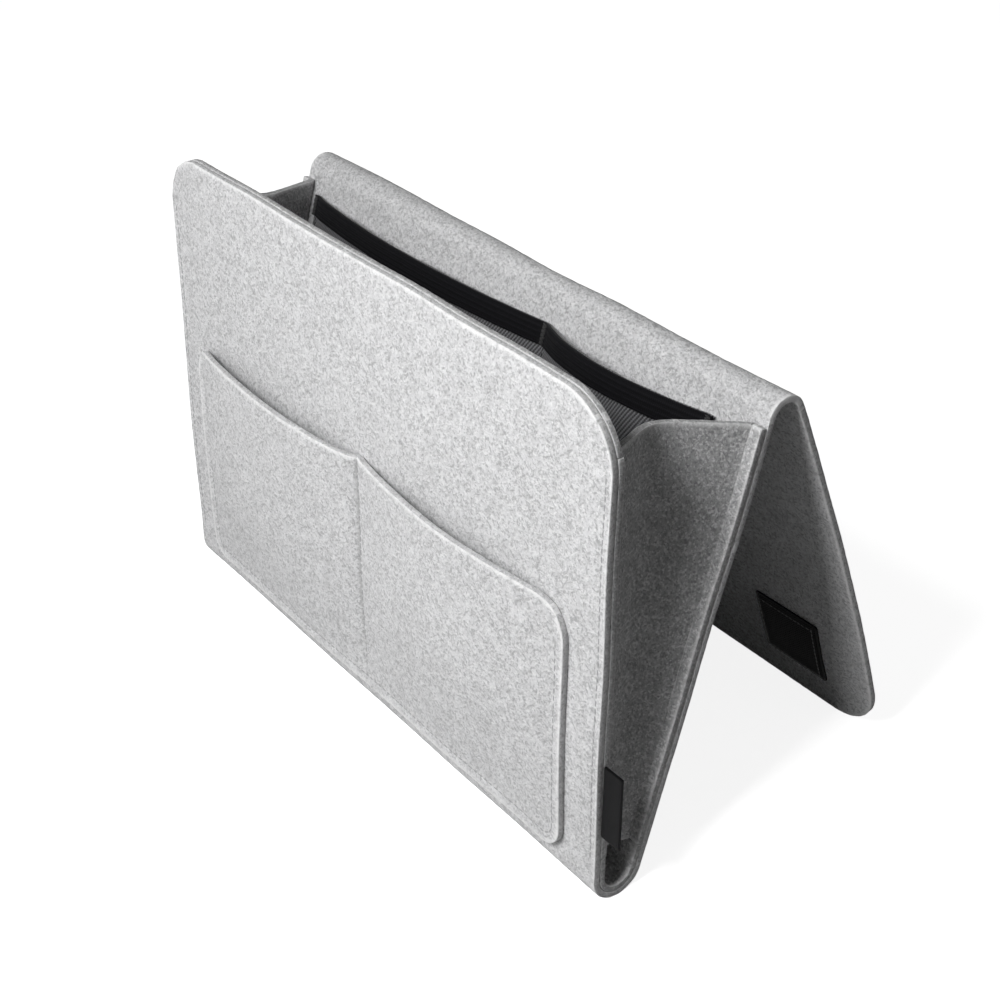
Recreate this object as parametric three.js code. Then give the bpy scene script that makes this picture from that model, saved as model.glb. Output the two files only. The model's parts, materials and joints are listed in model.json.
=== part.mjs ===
// A bedside caddy of thick grey felt, standing open like an easel. One long felt sheet makes the front,
// the bottom fold, the back, the ridge and the flap. Two felt gussets close the sides of the pouch, a felt
// pocket with two compartments is sewn on the front, and a mesh pocket with an elastic edge on the back.
// Millimetres, +Z up. X runs across the panels, and the front faces -Y. The origin is under the middle of
// the whole object, on the surface that it stands on.

import * as THREE from "three";

const degrees = THREE.MathUtils.degToRad;
const lerp = THREE.MathUtils.lerp;

// The felt sheet and its folds. A panel's heights are measured along it from its fold's axis.
const panelWidth = 340;
const feltThickness = 3;
const seamGap = 0.3; // clearance between two pieces that touch
const foldRadius = 13; // outside of the bottom fold
const frontHeight = 223;
const frontCornerRadius = 28.5;
const frontLean = degrees(-4.35); // outwards: the front's top leans a little towards the back
const backHeight = 206.3; // up to the ridge's axis
const backLean = degrees(20.55); // the back leans away from the front
const ridgeRadius = 9; // outside of the ridge
const flapLean = degrees(21.35); // where the flap leaves the ridge
const flapBowRadius = 1320; // of its middle surface: the flap bows towards the back on its way down
const flapCornerRadius = 28;
const flapRows = 12; // above its round corners

// The gussets
const gussetBottom = 12; // lower edge, which leaves an outlet at the fold's end
const gussetBelowFrontTop = 21;
const gussetBelowRidge = 4.3;
const gussetInset = 6.5; // from the panel's side edge to the middle of the gusset's web
const gussetFoldDepth = 15.5; // how far the web folds inwards at its top
const gussetRows = 8;
// Across the web from front to back: the share of the span, and the share of the fold's depth there
const gussetFoldShares = [
  [0.16, 0.38],
  [0.32, 0.78],
  [0.41, 0.96],
  [0.48, 1],
  [0.56, 0.95],
  [0.7, 0.66],
  [0.85, 0.32],
];

// The front lining, which stops short of the gussets' webs
const liningSideInset = 11;

// The front pocket
const pocketSideInset = 20.7; // from the front's side edges
const pocketBottom = 3.5;
const pocketTop = 128.5;
const pocketCornerRadius = 12; // of its lower corners
const pocketTopRadius = 18; // and of its upper ones
const pocketSeamInset = 5; // from the pocket's edge to its row of stitches
const pocketMargin = 8; // the pocket lies flat this far in from its edge
const dividerMargin = 1.5; // and this far to each side of the divider's stitches
const pocketSwells = { left: { bulge: 8.5, power: 0.45 }, right: { bulge: 7, power: 0.8 } };
const pocketRise = 70; // height over which a compartment swells from its bottom
const pocketColumns = 10; // per compartment
const pocketRowShares = [0.22, 0.34, 0.48, 0.64, 0.78];
const pocketCornerShares = [0, 0.04, 0.15, 0.33, 0.6, 1]; // rows that follow the round corners

// The mesh pocket on the back
const meshLeftInset = 13; // from the back's left edge
const meshRightInset = 27; // and from its right one
const meshDividerX = 35;
const meshBottom = 62;
const meshBelowRidge = 10.3;
const meshThickness = 0.8;
const meshMargin = 4;
const meshSwells = { left: { bulge: 11, power: 0.8 }, right: { bulge: 12, power: 0.8 } };
const meshRise = 125;
const meshColumns = 8; // per compartment
const meshRowShares = [0, 0.06, 0.2, 0.36, 0.54, 0.72, 0.88, 1];
const elasticHeight = 10.5;
const elasticThickness = 1.4;
const elasticRowShares = [0, 0.5, 1];
const tackWidth = 3.2;
const tackThickness = 0.8;

// Sewing thread, laid as a flat row
const threadWidth = 0.8;
const threadThickness = 0.5;
const seamInset = 3.5; // from a panel's side edge to the row through it and the gusset

// The woven side tab
const tabReach = 12; // out of the right-hand seam
const tabBottom = 25;
const tabTop = 61.6;
const tabThickness = 1.2;

// The hook patches on the flap
const patchWidth = 40;
const patchHeight = 37.5;
const patchThickness = 1.8;
const patchCornerRadius = 1.5;
const patchFromSide = 48; // from the flap's side edge, to the patch's middle
const patchRise = 37.5; // up the flap from its lower edge, to the patch's middle
const patchSeamInset = 2.5;

// How finely curves are cut
const cornerSegments = 6;
const foldSegments = 16;
const mitreShare = 0.5; // least cosine that a strip's corner is mitred by

const halfWidth = panelWidth / 2;
const halfPocket = halfWidth - pocketSideInset;
const meshLeft = meshLeftInset - halfWidth;
const meshRight = halfWidth - meshRightInset;
const meshTop = backHeight - meshBelowRidge;
const gussetTop = Math.min(frontHeight - gussetBelowFrontTop, backHeight - gussetBelowRidge);
const axisX = new THREE.Vector3(1, 0, 0);
const axisY = new THREE.Vector3(0, 1, 0);
const axisZ = new THREE.Vector3(0, 0, 1);

// Faces of the panels, as heights over the fold's or ridge's axis along the panel's own normal
const frontInside = foldRadius - feltThickness;
const backInside = -frontInside;
const flapInside = feltThickness - ridgeRadius;

// The flap is as long as it takes to reach the surface that the bottom fold stands on.
const ridgeDepth = backInside - ridgeRadius; // the ridge's axis, on the back's normal
const ridgeY = backHeight * Math.sin(backLean) - ridgeDepth * Math.cos(backLean);
const ridgeZ = foldRadius + backHeight * Math.cos(backLean) + ridgeDepth * Math.sin(backLean);
const bowCentre = flapInside - feltThickness / 2 + flapBowRadius;
const footRise = (bowCentre * Math.sin(flapLean) - ridgeZ) / (bowCentre - flapInside);
const flapLength = flapBowRadius * (flapLean - Math.asin(footRise));

// Materials
const feltLight = { color: 0xc9c9ca, roughness: 0.95, metalness: 0 };
const feltShade = { color: 0xb4b4b6, roughness: 0.95, metalness: 0 };
const threadGrey = { color: 0x9c9c9e, roughness: 0.8, metalness: 0 };
const threadBlack = { color: 0x161617, roughness: 0.8, metalness: 0 };
const meshGrey = { color: 0x3d3d40, roughness: 0.85, metalness: 0 };
const elasticBlack = { color: 0x131316, roughness: 0.75, metalness: 0 };
const tabBlack = { color: 0x18181b, roughness: 0.7, metalness: 0 };
const hookBlack = { color: 0x0a0a0b, roughness: 0.9, metalness: 0 };

function piece(name, geometry, look) {
  const mesh = new THREE.Mesh(geometry, new THREE.MeshStandardMaterial(look));
  mesh.name = name;
  return mesh;
}

// A flat piece: the outline, raised to height z over the panel's fold axis
function plate(shape, z, thickness) {
  const options = { depth: thickness, bevelEnabled: false, curveSegments: cornerSegments };
  return new THREE.ExtrudeGeometry(shape, options).translate(0, 0, z);
}

// A rectangle with rounded corners, from its lower edge to its upper one
function roundedOutline(left, right, bottom, top, bottomRadius, topRadius) {
  const shape = new THREE.Shape();
  const quarter = Math.PI / 2;
  const corner = (x, y, radius, turn) => {
    if (radius > 0) shape.absarc(x, y, radius, turn * quarter, (turn + 1) * quarter, false);
    else shape.lineTo(x, y);
  };
  shape.moveTo(left + bottomRadius, bottom);
  corner(right - bottomRadius, bottom + bottomRadius, bottomRadius, -1);
  corner(right - topRadius, top - topRadius, topRadius, 0);
  corner(left + topRadius, top - topRadius, topRadius, 1);
  corner(left + bottomRadius, bottom + bottomRadius, bottomRadius, 2);
  return shape;
}

// A flat strip along a line of points, such as a row of thread
function stripOutline(points, width) {
  const direction = (from, to) => new THREE.Vector2().subVectors(to, from).normalize();
  const sides = points.map((point, i) => {
    const before = direction(points[Math.max(i - 1, 0)], points[Math.max(i, 1)]);
    const last = points.length - 1;
    const after = direction(points[Math.min(i, last - 1)], points[Math.min(i + 1, last)]);
    const along = before.clone().add(after).normalize();
    const reach = width / 2 / Math.max(along.dot(after), mitreShare);
    const across = new THREE.Vector2(-along.y, along.x).multiplyScalar(reach);
    return [point.clone().add(across), point.clone().sub(across)];
  });
  return new THREE.Shape([...sides.map((s) => s[0]), ...sides.map((s) => s[1]).reverse()]);
}

function threadRow(points, z) {
  return plate(stripOutline(points, threadWidth), z, threadThickness);
}

// A line down one side, round the two lower corners and up the other side
function cupLine(left, right, bottom, top, radius) {
  const points = [new THREE.Vector2(left, top)];
  [
    [left + radius, Math.PI],
    [right - radius, 1.5 * Math.PI],
  ].forEach(([x, start]) => {
    for (let i = 0; i <= cornerSegments; i++) {
      const angle = start + (i / cornerSegments) * (Math.PI / 2);
      const reach = new THREE.Vector2(Math.cos(angle), Math.sin(angle)).multiplyScalar(radius);
      points.push(reach.add(new THREE.Vector2(x, bottom + radius)));
    }
  });
  points.push(new THREE.Vector2(right, top));
  return points;
}

function uprightLine(x, bottom, top) {
  return [new THREE.Vector2(x, bottom), new THREE.Vector2(x, top)];
}

// A profile drawn in the Y-Z plane, extruded across the whole panel
function acrossPanel(shape) {
  const options = { depth: panelWidth, bevelEnabled: false, curveSegments: foldSegments };
  const geometry = new THREE.ExtrudeGeometry(shape, options).translate(0, 0, -halfWidth);
  return geometry.applyMatrix4(new THREE.Matrix4().makeBasis(axisY, axisZ, axisX));
}

// A bend of the sheet about its axis
function bend(outerRadius, fromAngle, toAngle) {
  const shape = new THREE.Shape();
  shape.absarc(0, 0, outerRadius, fromAngle, toAngle, false);
  shape.absarc(0, 0, outerRadius - feltThickness, toAngle, fromAngle, true);
  return acrossPanel(shape);
}

// A closed shaped sheet from rows of point pairs, each pair one point on either face
function shapedSheet(rows) {
  const rowLength = rows[0].length;
  const points = ["outer", "inner"].flatMap((face) => rows.flatMap((row) => row.map((pair) => pair[face])));
  const outer = (j, i) => j * rowLength + i;
  const inner = (j, i) => (rows.length + j) * rowLength + i;
  const triangles = [];
  const quad = (a, b, c, d) => triangles.push(a, b, c, a, c, d);
  const lastRow = rows.length - 1;
  const lastColumn = rowLength - 1;
  for (let j = 0; j < lastRow; j++) {
    for (let i = 0; i < lastColumn; i++) {
      quad(outer(j, i), outer(j, i + 1), outer(j + 1, i + 1), outer(j + 1, i));
      quad(inner(j, i), inner(j + 1, i), inner(j + 1, i + 1), inner(j, i + 1));
    }
    quad(outer(j, 0), outer(j + 1, 0), inner(j + 1, 0), inner(j, 0));
    quad(outer(j, lastColumn), inner(j, lastColumn), inner(j + 1, lastColumn), outer(j + 1, lastColumn));
  }
  for (let i = 0; i < lastColumn; i++) {
    quad(outer(0, i), inner(0, i), inner(0, i + 1), outer(0, i + 1));
    quad(outer(lastRow, i), outer(lastRow, i + 1), inner(lastRow, i + 1), inner(lastRow, i));
  }
  const volume = triangles.reduce((sum, _, k) => {
    if (k % 3) return sum;
    const [a, b, c] = [points[triangles[k]], points[triangles[k + 1]], points[triangles[k + 2]]];
    return sum + a.dot(b.clone().cross(c));
  }, 0);
  if (volume < 0) triangles.reverse();
  return new THREE.BufferGeometry().setFromPoints(points).setIndex(triangles);
}

// How far a sewn pocket stands off its panel at a place. Each compartment swells between its seams as the
// power of a sine: the smaller the power, the fuller it is.
function swell(x, y, compartments, bottom, rise) {
  const height = Math.sin((Math.PI / 2) * THREE.MathUtils.clamp((y - bottom) / rise, 0, 1));
  return compartments.reduce((sum, { left, right, bulge, power }) => {
    const share = THREE.MathUtils.clamp((x - left) / (right - left), 0, 1);
    return sum + bulge * Math.pow(Math.sin(Math.PI * share), power) * height;
  }, 0);
}

function pocketSheet({ left, right, compartments, columns, heights, narrowing, bottom, rise, z, thickness }) {
  const middle = (left + right) / 2;
  const places = compartments.flatMap((c) =>
    Array.from({ length: columns + 1 }, (_, i) => lerp(c.left, c.right, i / columns)),
  );
  const across = [left, ...places, right];
  const rows = heights.map((y) => {
    const scale = 1 - narrowing(y) / (right - middle);
    return across.map((place) => {
      const x = middle + (place - middle) * scale;
      const height = z + swell(x, y, compartments, bottom, rise);
      return { outer: new THREE.Vector3(x, y, height + thickness), inner: new THREE.Vector3(x, y, height) };
    });
  });
  return shapedSheet(rows);
}

// Half the front's width at a height, less where its top corners are round
function frontHalfWidth(y) {
  const rise = THREE.MathUtils.clamp(y - (frontHeight - frontCornerRadius), 0, frontCornerRadius);
  return halfWidth - frontCornerRadius + Math.sqrt(frontCornerRadius ** 2 - rise ** 2);
}

// The front lining fills its layer from the bottom fold to the top edge, and is notched for the gussets.
function liningOutline() {
  const liningHalf = halfWidth - liningSideInset;
  const notchBottom = gussetBottom - seamGap;
  const notchTop = gussetTop + seamGap;
  const cornerY = frontHeight - frontCornerRadius;
  const cornerStart = Math.asin(THREE.MathUtils.clamp((notchTop - cornerY) / frontCornerRadius, 0, 1));
  const shape = new THREE.Shape();
  shape.moveTo(-halfWidth, seamGap);
  shape.lineTo(halfWidth, seamGap);
  shape.lineTo(halfWidth, notchBottom);
  shape.lineTo(liningHalf, notchBottom);
  shape.lineTo(liningHalf, notchTop);
  shape.lineTo(frontHalfWidth(notchTop), notchTop);
  shape.absarc(halfWidth - frontCornerRadius, cornerY, frontCornerRadius, cornerStart, Math.PI / 2, false);
  const cornerEnd = Math.PI - cornerStart;
  shape.absarc(frontCornerRadius - halfWidth, cornerY, frontCornerRadius, Math.PI / 2, cornerEnd, false);
  shape.lineTo(-frontHalfWidth(notchTop), notchTop);
  shape.lineTo(-liningHalf, notchTop);
  shape.lineTo(-liningHalf, notchBottom);
  shape.lineTo(-halfWidth, notchBottom);
  return shape;
}

// The lining's lower part: round the inside of the fold, then up the back as far as the gussets
function bottomLining() {
  const outerRadius = frontInside - seamGap;
  const innerRadius = frontInside - feltThickness;
  const backAngle = 2 * Math.PI - backLean;
  const rise = gussetBottom - seamGap;
  const up = new THREE.Vector2(Math.sin(backLean), Math.cos(backLean)).multiplyScalar(rise);
  const outwards = new THREE.Vector2(Math.cos(backAngle), Math.sin(backAngle));
  const end = (radius) => up.clone().addScaledVector(outwards, radius);
  const shape = new THREE.Shape();
  shape.absarc(0, 0, outerRadius, Math.PI + frontLean, backAngle, false);
  shape.lineTo(...end(outerRadius).toArray());
  shape.lineTo(...end(innerRadius).toArray());
  shape.absarc(0, 0, innerRadius, backAngle, Math.PI + frontLean, true);
  return acrossPanel(shape);
}

// A point over the front or the back, seen from the bottom fold's axis
function overFront(x, y, z) {
  const up = new THREE.Vector3(0, -Math.sin(frontLean), Math.cos(frontLean));
  const out = new THREE.Vector3(0, -Math.cos(frontLean), -Math.sin(frontLean));
  return new THREE.Vector3(x, 0, 0).addScaledVector(up, y).addScaledVector(out, z);
}

function overBack(x, y, z) {
  const up = new THREE.Vector3(0, Math.sin(backLean), Math.cos(backLean));
  const out = new THREE.Vector3(0, -Math.cos(backLean), Math.sin(backLean));
  return new THREE.Vector3(x, 0, 0).addScaledVector(up, y).addScaledVector(out, z);
}

// One row of a gusset at a height: a flange on the front, the folded web and a flange on the back
function gussetRow(y, side) {
  const root = halfWidth - gussetInset;
  const half = feltThickness / 2;
  const onFront = frontInside - seamGap;
  const onBack = backInside + seamGap;
  const start = overFront(root, y, onFront - half);
  const finish = overBack(root, y, onBack + half);
  const span = start.distanceTo(finish);
  const along = finish.clone().sub(start).normalize();
  const depth = gussetFoldDepth * (y / gussetTop);
  const line = [[0, 0], ...gussetFoldShares, [1, 0]].map(
    ([spanShare, depthShare]) => new THREE.Vector2(-depth * depthShare, span * spanShare),
  );
  const web = line.slice(1, -1).map((point, i) => {
    const tangent = line[i + 2].clone().sub(line[i]).normalize();
    const place = (offset) =>
      start
        .clone()
        .addScaledVector(axisX, point.x + offset * tangent.y)
        .addScaledVector(along, point.y - offset * tangent.x);
    return { outer: place(half), inner: place(-half) };
  });
  const reach = frontHalfWidth(y);
  const row = [
    { outer: overFront(reach, y, onFront - feltThickness), inner: overFront(reach, y, onFront) },
    { outer: overFront(root + half, y, onFront - feltThickness), inner: overFront(root - half, y, onFront) },
    ...web,
    { outer: overBack(root + half, y, onBack + feltThickness), inner: overBack(root - half, y, onBack) },
    { outer: overBack(halfWidth, y, onBack + feltThickness), inner: overBack(halfWidth, y, onBack) },
  ];
  row.forEach(({ outer, inner }) => [outer, inner].forEach((point) => (point.x *= side)));
  return row;
}

function gusset(side) {
  const shares = Array.from({ length: gussetRows + 1 }, (_, j) => j / gussetRows);
  return shapedSheet(shares.map((share) => gussetRow(lerp(gussetBottom, gussetTop, share), side)));
}

function frontPocket(z) {
  const inner = halfPocket - pocketMargin;
  const compartments = [
    { left: -inner, right: -dividerMargin, ...pocketSwells.left },
    { left: dividerMargin, right: inner, ...pocketSwells.right },
  ];
  const low = pocketCornerShares.map((share) => pocketBottom + pocketCornerRadius * share);
  const high = pocketCornerShares.map((share) => pocketTop - pocketTopRadius * share).reverse();
  const between = pocketRowShares.map((share) => lerp(pocketBottom, pocketTop, share));
  const roundedBy = (radius, fromEnd) => radius - Math.sqrt(radius ** 2 - Math.max(radius - fromEnd, 0) ** 2);
  const narrowing = (y) =>
    roundedBy(pocketCornerRadius, y - pocketBottom) + roundedBy(pocketTopRadius, pocketTop - y);
  return pocketSheet({
    left: -halfPocket,
    right: halfPocket,
    compartments,
    columns: pocketColumns,
    heights: [...low, ...between, ...high],
    narrowing,
    bottom: pocketBottom + pocketMargin,
    rise: pocketRise,
    z,
    thickness: feltThickness,
  });
}

// The mesh pocket or its elastic edge: both swell alike, the elastic in front of the mesh
function meshLayer(heights, z, thickness) {
  return pocketSheet({
    left: meshLeft,
    right: meshRight,
    compartments: [
      { left: meshLeft + meshMargin, right: meshDividerX - meshMargin / 2, ...meshSwells.left },
      { left: meshDividerX + meshMargin / 2, right: meshRight - meshMargin, ...meshSwells.right },
    ],
    columns: meshColumns,
    heights,
    narrowing: () => 0,
    bottom: meshBottom + meshMargin,
    rise: meshRise,
    z,
    thickness,
  });
}

// The front and what is sewn on it
function makeFront() {
  const front = new THREE.Group();
  const pocketZ = foldRadius + seamGap;
  const threadZ = pocketZ + feltThickness + seamGap;
  const seam = halfPocket - pocketSeamInset;
  const pocketLine = cupLine(
    -seam,
    seam,
    pocketBottom + pocketSeamInset,
    pocketTop - pocketTopRadius,
    pocketCornerRadius - pocketSeamInset,
  );
  const dividerLine = uprightLine(0, pocketBottom + pocketSeamInset + threadWidth, pocketTop);
  const panel = roundedOutline(-halfWidth, halfWidth, seamGap, frontHeight, 0, frontCornerRadius);
  const lining = liningOutline();
  const liningZ = frontInside - feltThickness;
  const tab = roundedOutline(halfWidth + seamGap, halfWidth + tabReach, tabBottom, tabTop, 0, 0);
  const tabZ = frontInside - (seamGap + tabThickness) / 2;
  front.add(
    piece("front_panel", plate(panel, frontInside, feltThickness), feltLight),
    piece("front_lining", plate(lining, liningZ, feltThickness - seamGap), feltShade),
    piece("front_pocket", frontPocket(pocketZ), feltLight),
    piece("pocket_stitching", threadRow(pocketLine, threadZ), threadGrey),
    piece("divider_stitching", threadRow(dividerLine, threadZ), threadGrey),
    piece("side_tab", plate(tab, tabZ, tabThickness), tabBlack),
  );
  for (const [name, side] of [
    ["front_seam_left", -1],
    ["front_seam_right", 1],
  ]) {
    const line = uprightLine(side * (halfWidth - seamInset), gussetBottom, frontHeight - frontCornerRadius);
    front.add(piece(name, threadRow(line, pocketZ), threadGrey));
  }
  return front;
}

// The back and what is sewn on it
function makeBack() {
  const back = new THREE.Group();
  const meshZ = backInside + seamGap;
  const elasticZ = meshZ + meshThickness + seamGap;
  const tackZ = elasticZ + elasticThickness + seamGap;
  const elasticBottom = meshTop - elasticHeight;
  const panel = roundedOutline(-halfWidth, halfWidth, seamGap, backHeight - seamGap, 0, 0);
  const meshHeights = meshRowShares.map((share) => lerp(meshBottom, meshTop, share));
  const elasticHeights = elasticRowShares.map((share) => lerp(elasticBottom, meshTop, share));
  const edgeInset = meshMargin / 2;
  const edgeLine = cupLine(
    meshLeft + edgeInset,
    meshRight - edgeInset,
    meshBottom + edgeInset,
    elasticBottom - seamGap,
    edgeInset,
  );
  const dividerLine = uprightLine(meshDividerX, meshBottom + meshMargin, elasticBottom - seamGap);
  back.add(
    piece("back_panel", plate(panel, -foldRadius, feltThickness), feltLight),
    piece("mesh_pocket", meshLayer(meshHeights, meshZ, meshThickness), meshGrey),
    piece("pocket_elastic", meshLayer(elasticHeights, elasticZ, elasticThickness), elasticBlack),
    piece("mesh_edge_stitching", threadRow(edgeLine, elasticZ), threadBlack),
    piece("mesh_divider_stitching", threadRow(dividerLine, elasticZ), threadBlack),
  );
  const tacks = {
    left_bar_tack: meshLeft + meshMargin / 2,
    centre_bar_tack: meshDividerX,
    right_bar_tack: meshRight - meshMargin / 2,
  };
  for (const [name, x] of Object.entries(tacks)) {
    const line = uprightLine(x, elasticBottom, meshTop);
    back.add(piece(name, plate(stripOutline(line, tackWidth), tackZ, tackThickness), threadBlack));
  }
  for (const [name, side] of [
    ["back_seam_left", -1],
    ["back_seam_right", 1],
  ]) {
    const line = uprightLine(side * (halfWidth - seamInset), gussetBottom, gussetTop);
    back.add(piece(name, threadRow(line, -foldRadius - seamGap - threadThickness), threadGrey));
  }
  return back;
}

// Bends what is drawn flat to the flap's bow
function bowed(geometry) {
  const places = geometry.attributes.position;
  for (let i = 0; i < places.count; i++) {
    const reach = bowCentre - places.getZ(i);
    const angle = -places.getY(i) / flapBowRadius;
    places.setY(i, -reach * Math.sin(angle));
    places.setZ(i, bowCentre - reach * Math.cos(angle));
  }
  return geometry;
}

// The flap's own sheet, from the ridge down to its foot with the round corners
function flapSheet() {
  const straight = flapLength - flapCornerRadius;
  const rows = Array.from({ length: flapRows + 1 }, (_, i) => [lerp(seamGap, straight, i / flapRows), halfWidth]);
  for (let i = 1; i <= cornerSegments; i++) {
    const angle = (i / cornerSegments) * (Math.PI / 2);
    const inset = flapCornerRadius * (1 - Math.cos(angle));
    rows.push([straight + flapCornerRadius * Math.sin(angle), halfWidth - inset]);
  }
  const pair = (x, y) => ({
    outer: new THREE.Vector3(x, y, -ridgeRadius),
    inner: new THREE.Vector3(x, y, flapInside),
  });
  return bowed(shapedSheet(rows.map(([down, half]) => [pair(-half, -down), pair(half, -down)])));
}

// A hook patch with its stitching, flat, drawn round its own middle
function hookPatch(name) {
  const patch = new THREE.Group();
  const sagitta = patchHeight ** 2 / (2 * flapBowRadius) / 4; // the flap's bow over the patch's height
  const patchZ = flapInside + seamGap + sagitta;
  const outline = (inset, radius) =>
    roundedOutline(
      inset - patchWidth / 2,
      patchWidth / 2 - inset,
      inset - patchHeight / 2,
      patchHeight / 2 - inset,
      radius,
      radius,
    );
  const ring = outline(patchSeamInset, 0);
  ring.holes.push(outline(patchSeamInset + threadWidth, 0));
  const threadZ = patchZ + patchThickness + seamGap;
  patch.add(
    piece(name + "_hook_patch", plate(outline(0, patchCornerRadius), patchZ, patchThickness), hookBlack),
    piece(name + "_patch_stitching", plate(ring, threadZ, threadThickness), threadBlack),
  );
  return patch;
}

// The flap with its two hook patches, hanging from the ridge's axis
function makeFlap() {
  const flap = new THREE.Group();
  const turn = (flapLength - patchRise) / flapBowRadius; // along the bow, down to a patch's middle
  flap.add(piece("flap_panel", flapSheet(), feltLight));
  for (const [name, side] of [
    ["left", -1],
    ["right", 1],
  ]) {
    const patch = hookPatch(name);
    const across = side * (halfWidth - patchFromSide);
    patch.position.set(across, -bowCentre * Math.sin(turn), bowCentre * (1 - Math.cos(turn)));
    patch.rotation.x = -turn;
    flap.add(patch);
  }
  return flap;
}

// The bends and the gussets, which join the panels, seen from the bottom fold's axis
function makeJoiningPieces() {
  const group = new THREE.Group();
  const fold = bend(foldRadius, Math.PI + frontLean, 2 * Math.PI - backLean);
  const ridge = bend(ridgeRadius, flapLean, Math.PI - backLean);
  group.add(
    piece("bottom_fold", fold, feltLight),
    piece("bottom_lining", bottomLining(), feltShade),
    piece("ridge_fold", ridge.translate(0, ridgeY, ridgeZ - foldRadius), feltLight),
    piece("left_gusset", gusset(-1), feltShade),
    piece("right_gusset", gusset(1), feltShade),
  );
  return group;
}

// Stands the panels up: each is turned about the X axis at the fold or ridge that it hangs on.
const caddy = new THREE.Group();
const standing = new THREE.Group();
const quarterTurn = Math.PI / 2;
for (const [group, y, z, turn] of [
  [makeFront(), 0, foldRadius, quarterTurn + frontLean],
  [makeBack(), 0, foldRadius, quarterTurn - backLean],
  [makeJoiningPieces(), 0, foldRadius, 0],
  [makeFlap(), ridgeY, ridgeZ, quarterTurn + flapLean],
]) {
  group.position.set(0, y, z);
  group.rotation.x = turn;
  standing.add(group);
}
caddy.add(standing);
caddy.updateMatrixWorld(true);

// Puts the origin under the middle of the whole, and notes where the two hinge axes are.
const box = new THREE.Box3().setFromObject(standing, true);
const middle = box.getCenter(new THREE.Vector3());
standing.position.set(-middle.x, -middle.y, -box.min.z);
caddy.userData.hinges = {
  pouch_close: new THREE.Vector3(0, 0, foldRadius).add(standing.position),
  flap_fold: new THREE.Vector3(0, ridgeY, ridgeZ).add(standing.position),
};

export default caddy;
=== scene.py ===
"""Dresses the bedside caddy: heather felt panels, a mesh pocket, elastic, hook tape and sewing thread.

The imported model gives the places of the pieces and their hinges. Each sub-assembly is a class that builds
its own meshes round it, in metres, +Z up, with X running across the panels and the front facing -Y.
"""

import json
import logging
import math
import random
from collections.abc import Callable, Sequence
from dataclasses import dataclass, field
from enum import Enum

import bmesh
import bpy
import numpy as np
from mathutils import Matrix, Vector, noise

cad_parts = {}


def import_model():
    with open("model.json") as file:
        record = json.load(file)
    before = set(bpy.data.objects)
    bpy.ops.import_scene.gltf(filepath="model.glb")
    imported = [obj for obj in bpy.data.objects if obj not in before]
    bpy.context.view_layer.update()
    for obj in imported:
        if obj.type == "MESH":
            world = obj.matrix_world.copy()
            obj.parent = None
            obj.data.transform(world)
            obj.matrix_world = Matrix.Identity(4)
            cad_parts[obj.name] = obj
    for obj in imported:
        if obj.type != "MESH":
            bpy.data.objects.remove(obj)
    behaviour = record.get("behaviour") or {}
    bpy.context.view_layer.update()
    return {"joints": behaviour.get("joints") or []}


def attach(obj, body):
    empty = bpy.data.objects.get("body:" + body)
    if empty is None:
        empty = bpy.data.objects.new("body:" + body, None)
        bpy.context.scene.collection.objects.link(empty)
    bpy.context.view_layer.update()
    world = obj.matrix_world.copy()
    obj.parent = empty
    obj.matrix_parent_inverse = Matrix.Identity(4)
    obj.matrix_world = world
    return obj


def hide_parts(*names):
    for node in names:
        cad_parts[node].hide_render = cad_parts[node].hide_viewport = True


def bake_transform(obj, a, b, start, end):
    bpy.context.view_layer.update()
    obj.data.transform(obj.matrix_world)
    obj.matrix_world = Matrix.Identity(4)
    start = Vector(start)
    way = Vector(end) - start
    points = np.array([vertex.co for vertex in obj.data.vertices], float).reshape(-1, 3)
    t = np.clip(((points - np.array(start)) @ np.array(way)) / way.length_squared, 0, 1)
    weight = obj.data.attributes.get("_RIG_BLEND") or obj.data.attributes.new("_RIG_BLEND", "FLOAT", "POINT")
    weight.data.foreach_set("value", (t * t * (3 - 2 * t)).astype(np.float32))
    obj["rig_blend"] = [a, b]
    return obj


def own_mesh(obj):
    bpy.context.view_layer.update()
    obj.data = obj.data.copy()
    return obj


log = logging.getLogger("caddy")

MM = 0.001
TURN = 2 * math.pi
SHARP_ANGLE = math.radians(50)  # two faces that meet at more than this make an arris
SMOOTH_ANGLE = math.radians(42)
CUT_FACE = 1.4e-6  # square metres: a face of a sheet's cut end is larger, and one of its arrises smaller
ARRIS_STEP = 0.36 * MM  # the rounding of an arris has shorter steps than this, and no other surface has
FULL_EDGE = 0.07  # how much the surface turns, over the distance, where a vertex is wholly an edge
CREASE_SHADE_START = 0.3  # the share of that turn, inwards, at which the painted shade of a crease starts
RIM_EDGE = 0.3  # each corner of a face of a cut end is more of an edge than this
JOIN_FADE = 2 * MM  # bumps and edges fade out within this distance of a join
JOIN_REACH = 0.3 * MM  # a vertex this close to a join's plane is moved on to it
AT_JOIN = 0.03 * MM  # and one this close lies on it
SEAM_LINES = np.array([-2.2, -1.1, -0.4, 0.4, 1.1, 2.2]) * MM  # lines of the grid beside a row of stitches
SEAM_CLEAR = 0.7 * MM  # the even lines of the grid keep this far from those
END_CLEAR = 0.5 * MM  # and those keep this far from the grid's ends
CORNER_STEPS = 6  # a round corner of a row of stitches is drawn in this many
TINY = 1e-9  # keeps a divisor away from zero

Points = np.ndarray
Outline = Sequence[tuple[float, float]]
Place = Callable[[np.ndarray, np.ndarray], Points]


class Body(Enum):
    """The bodies that pieces ride on."""

    BACK = "back"
    FRONT = "front"
    FLAP = "flap"


class Joint(Enum):
    """The hinges between the bodies."""

    POUCH = "pouch_close"
    FLAP = "flap_fold"


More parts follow.
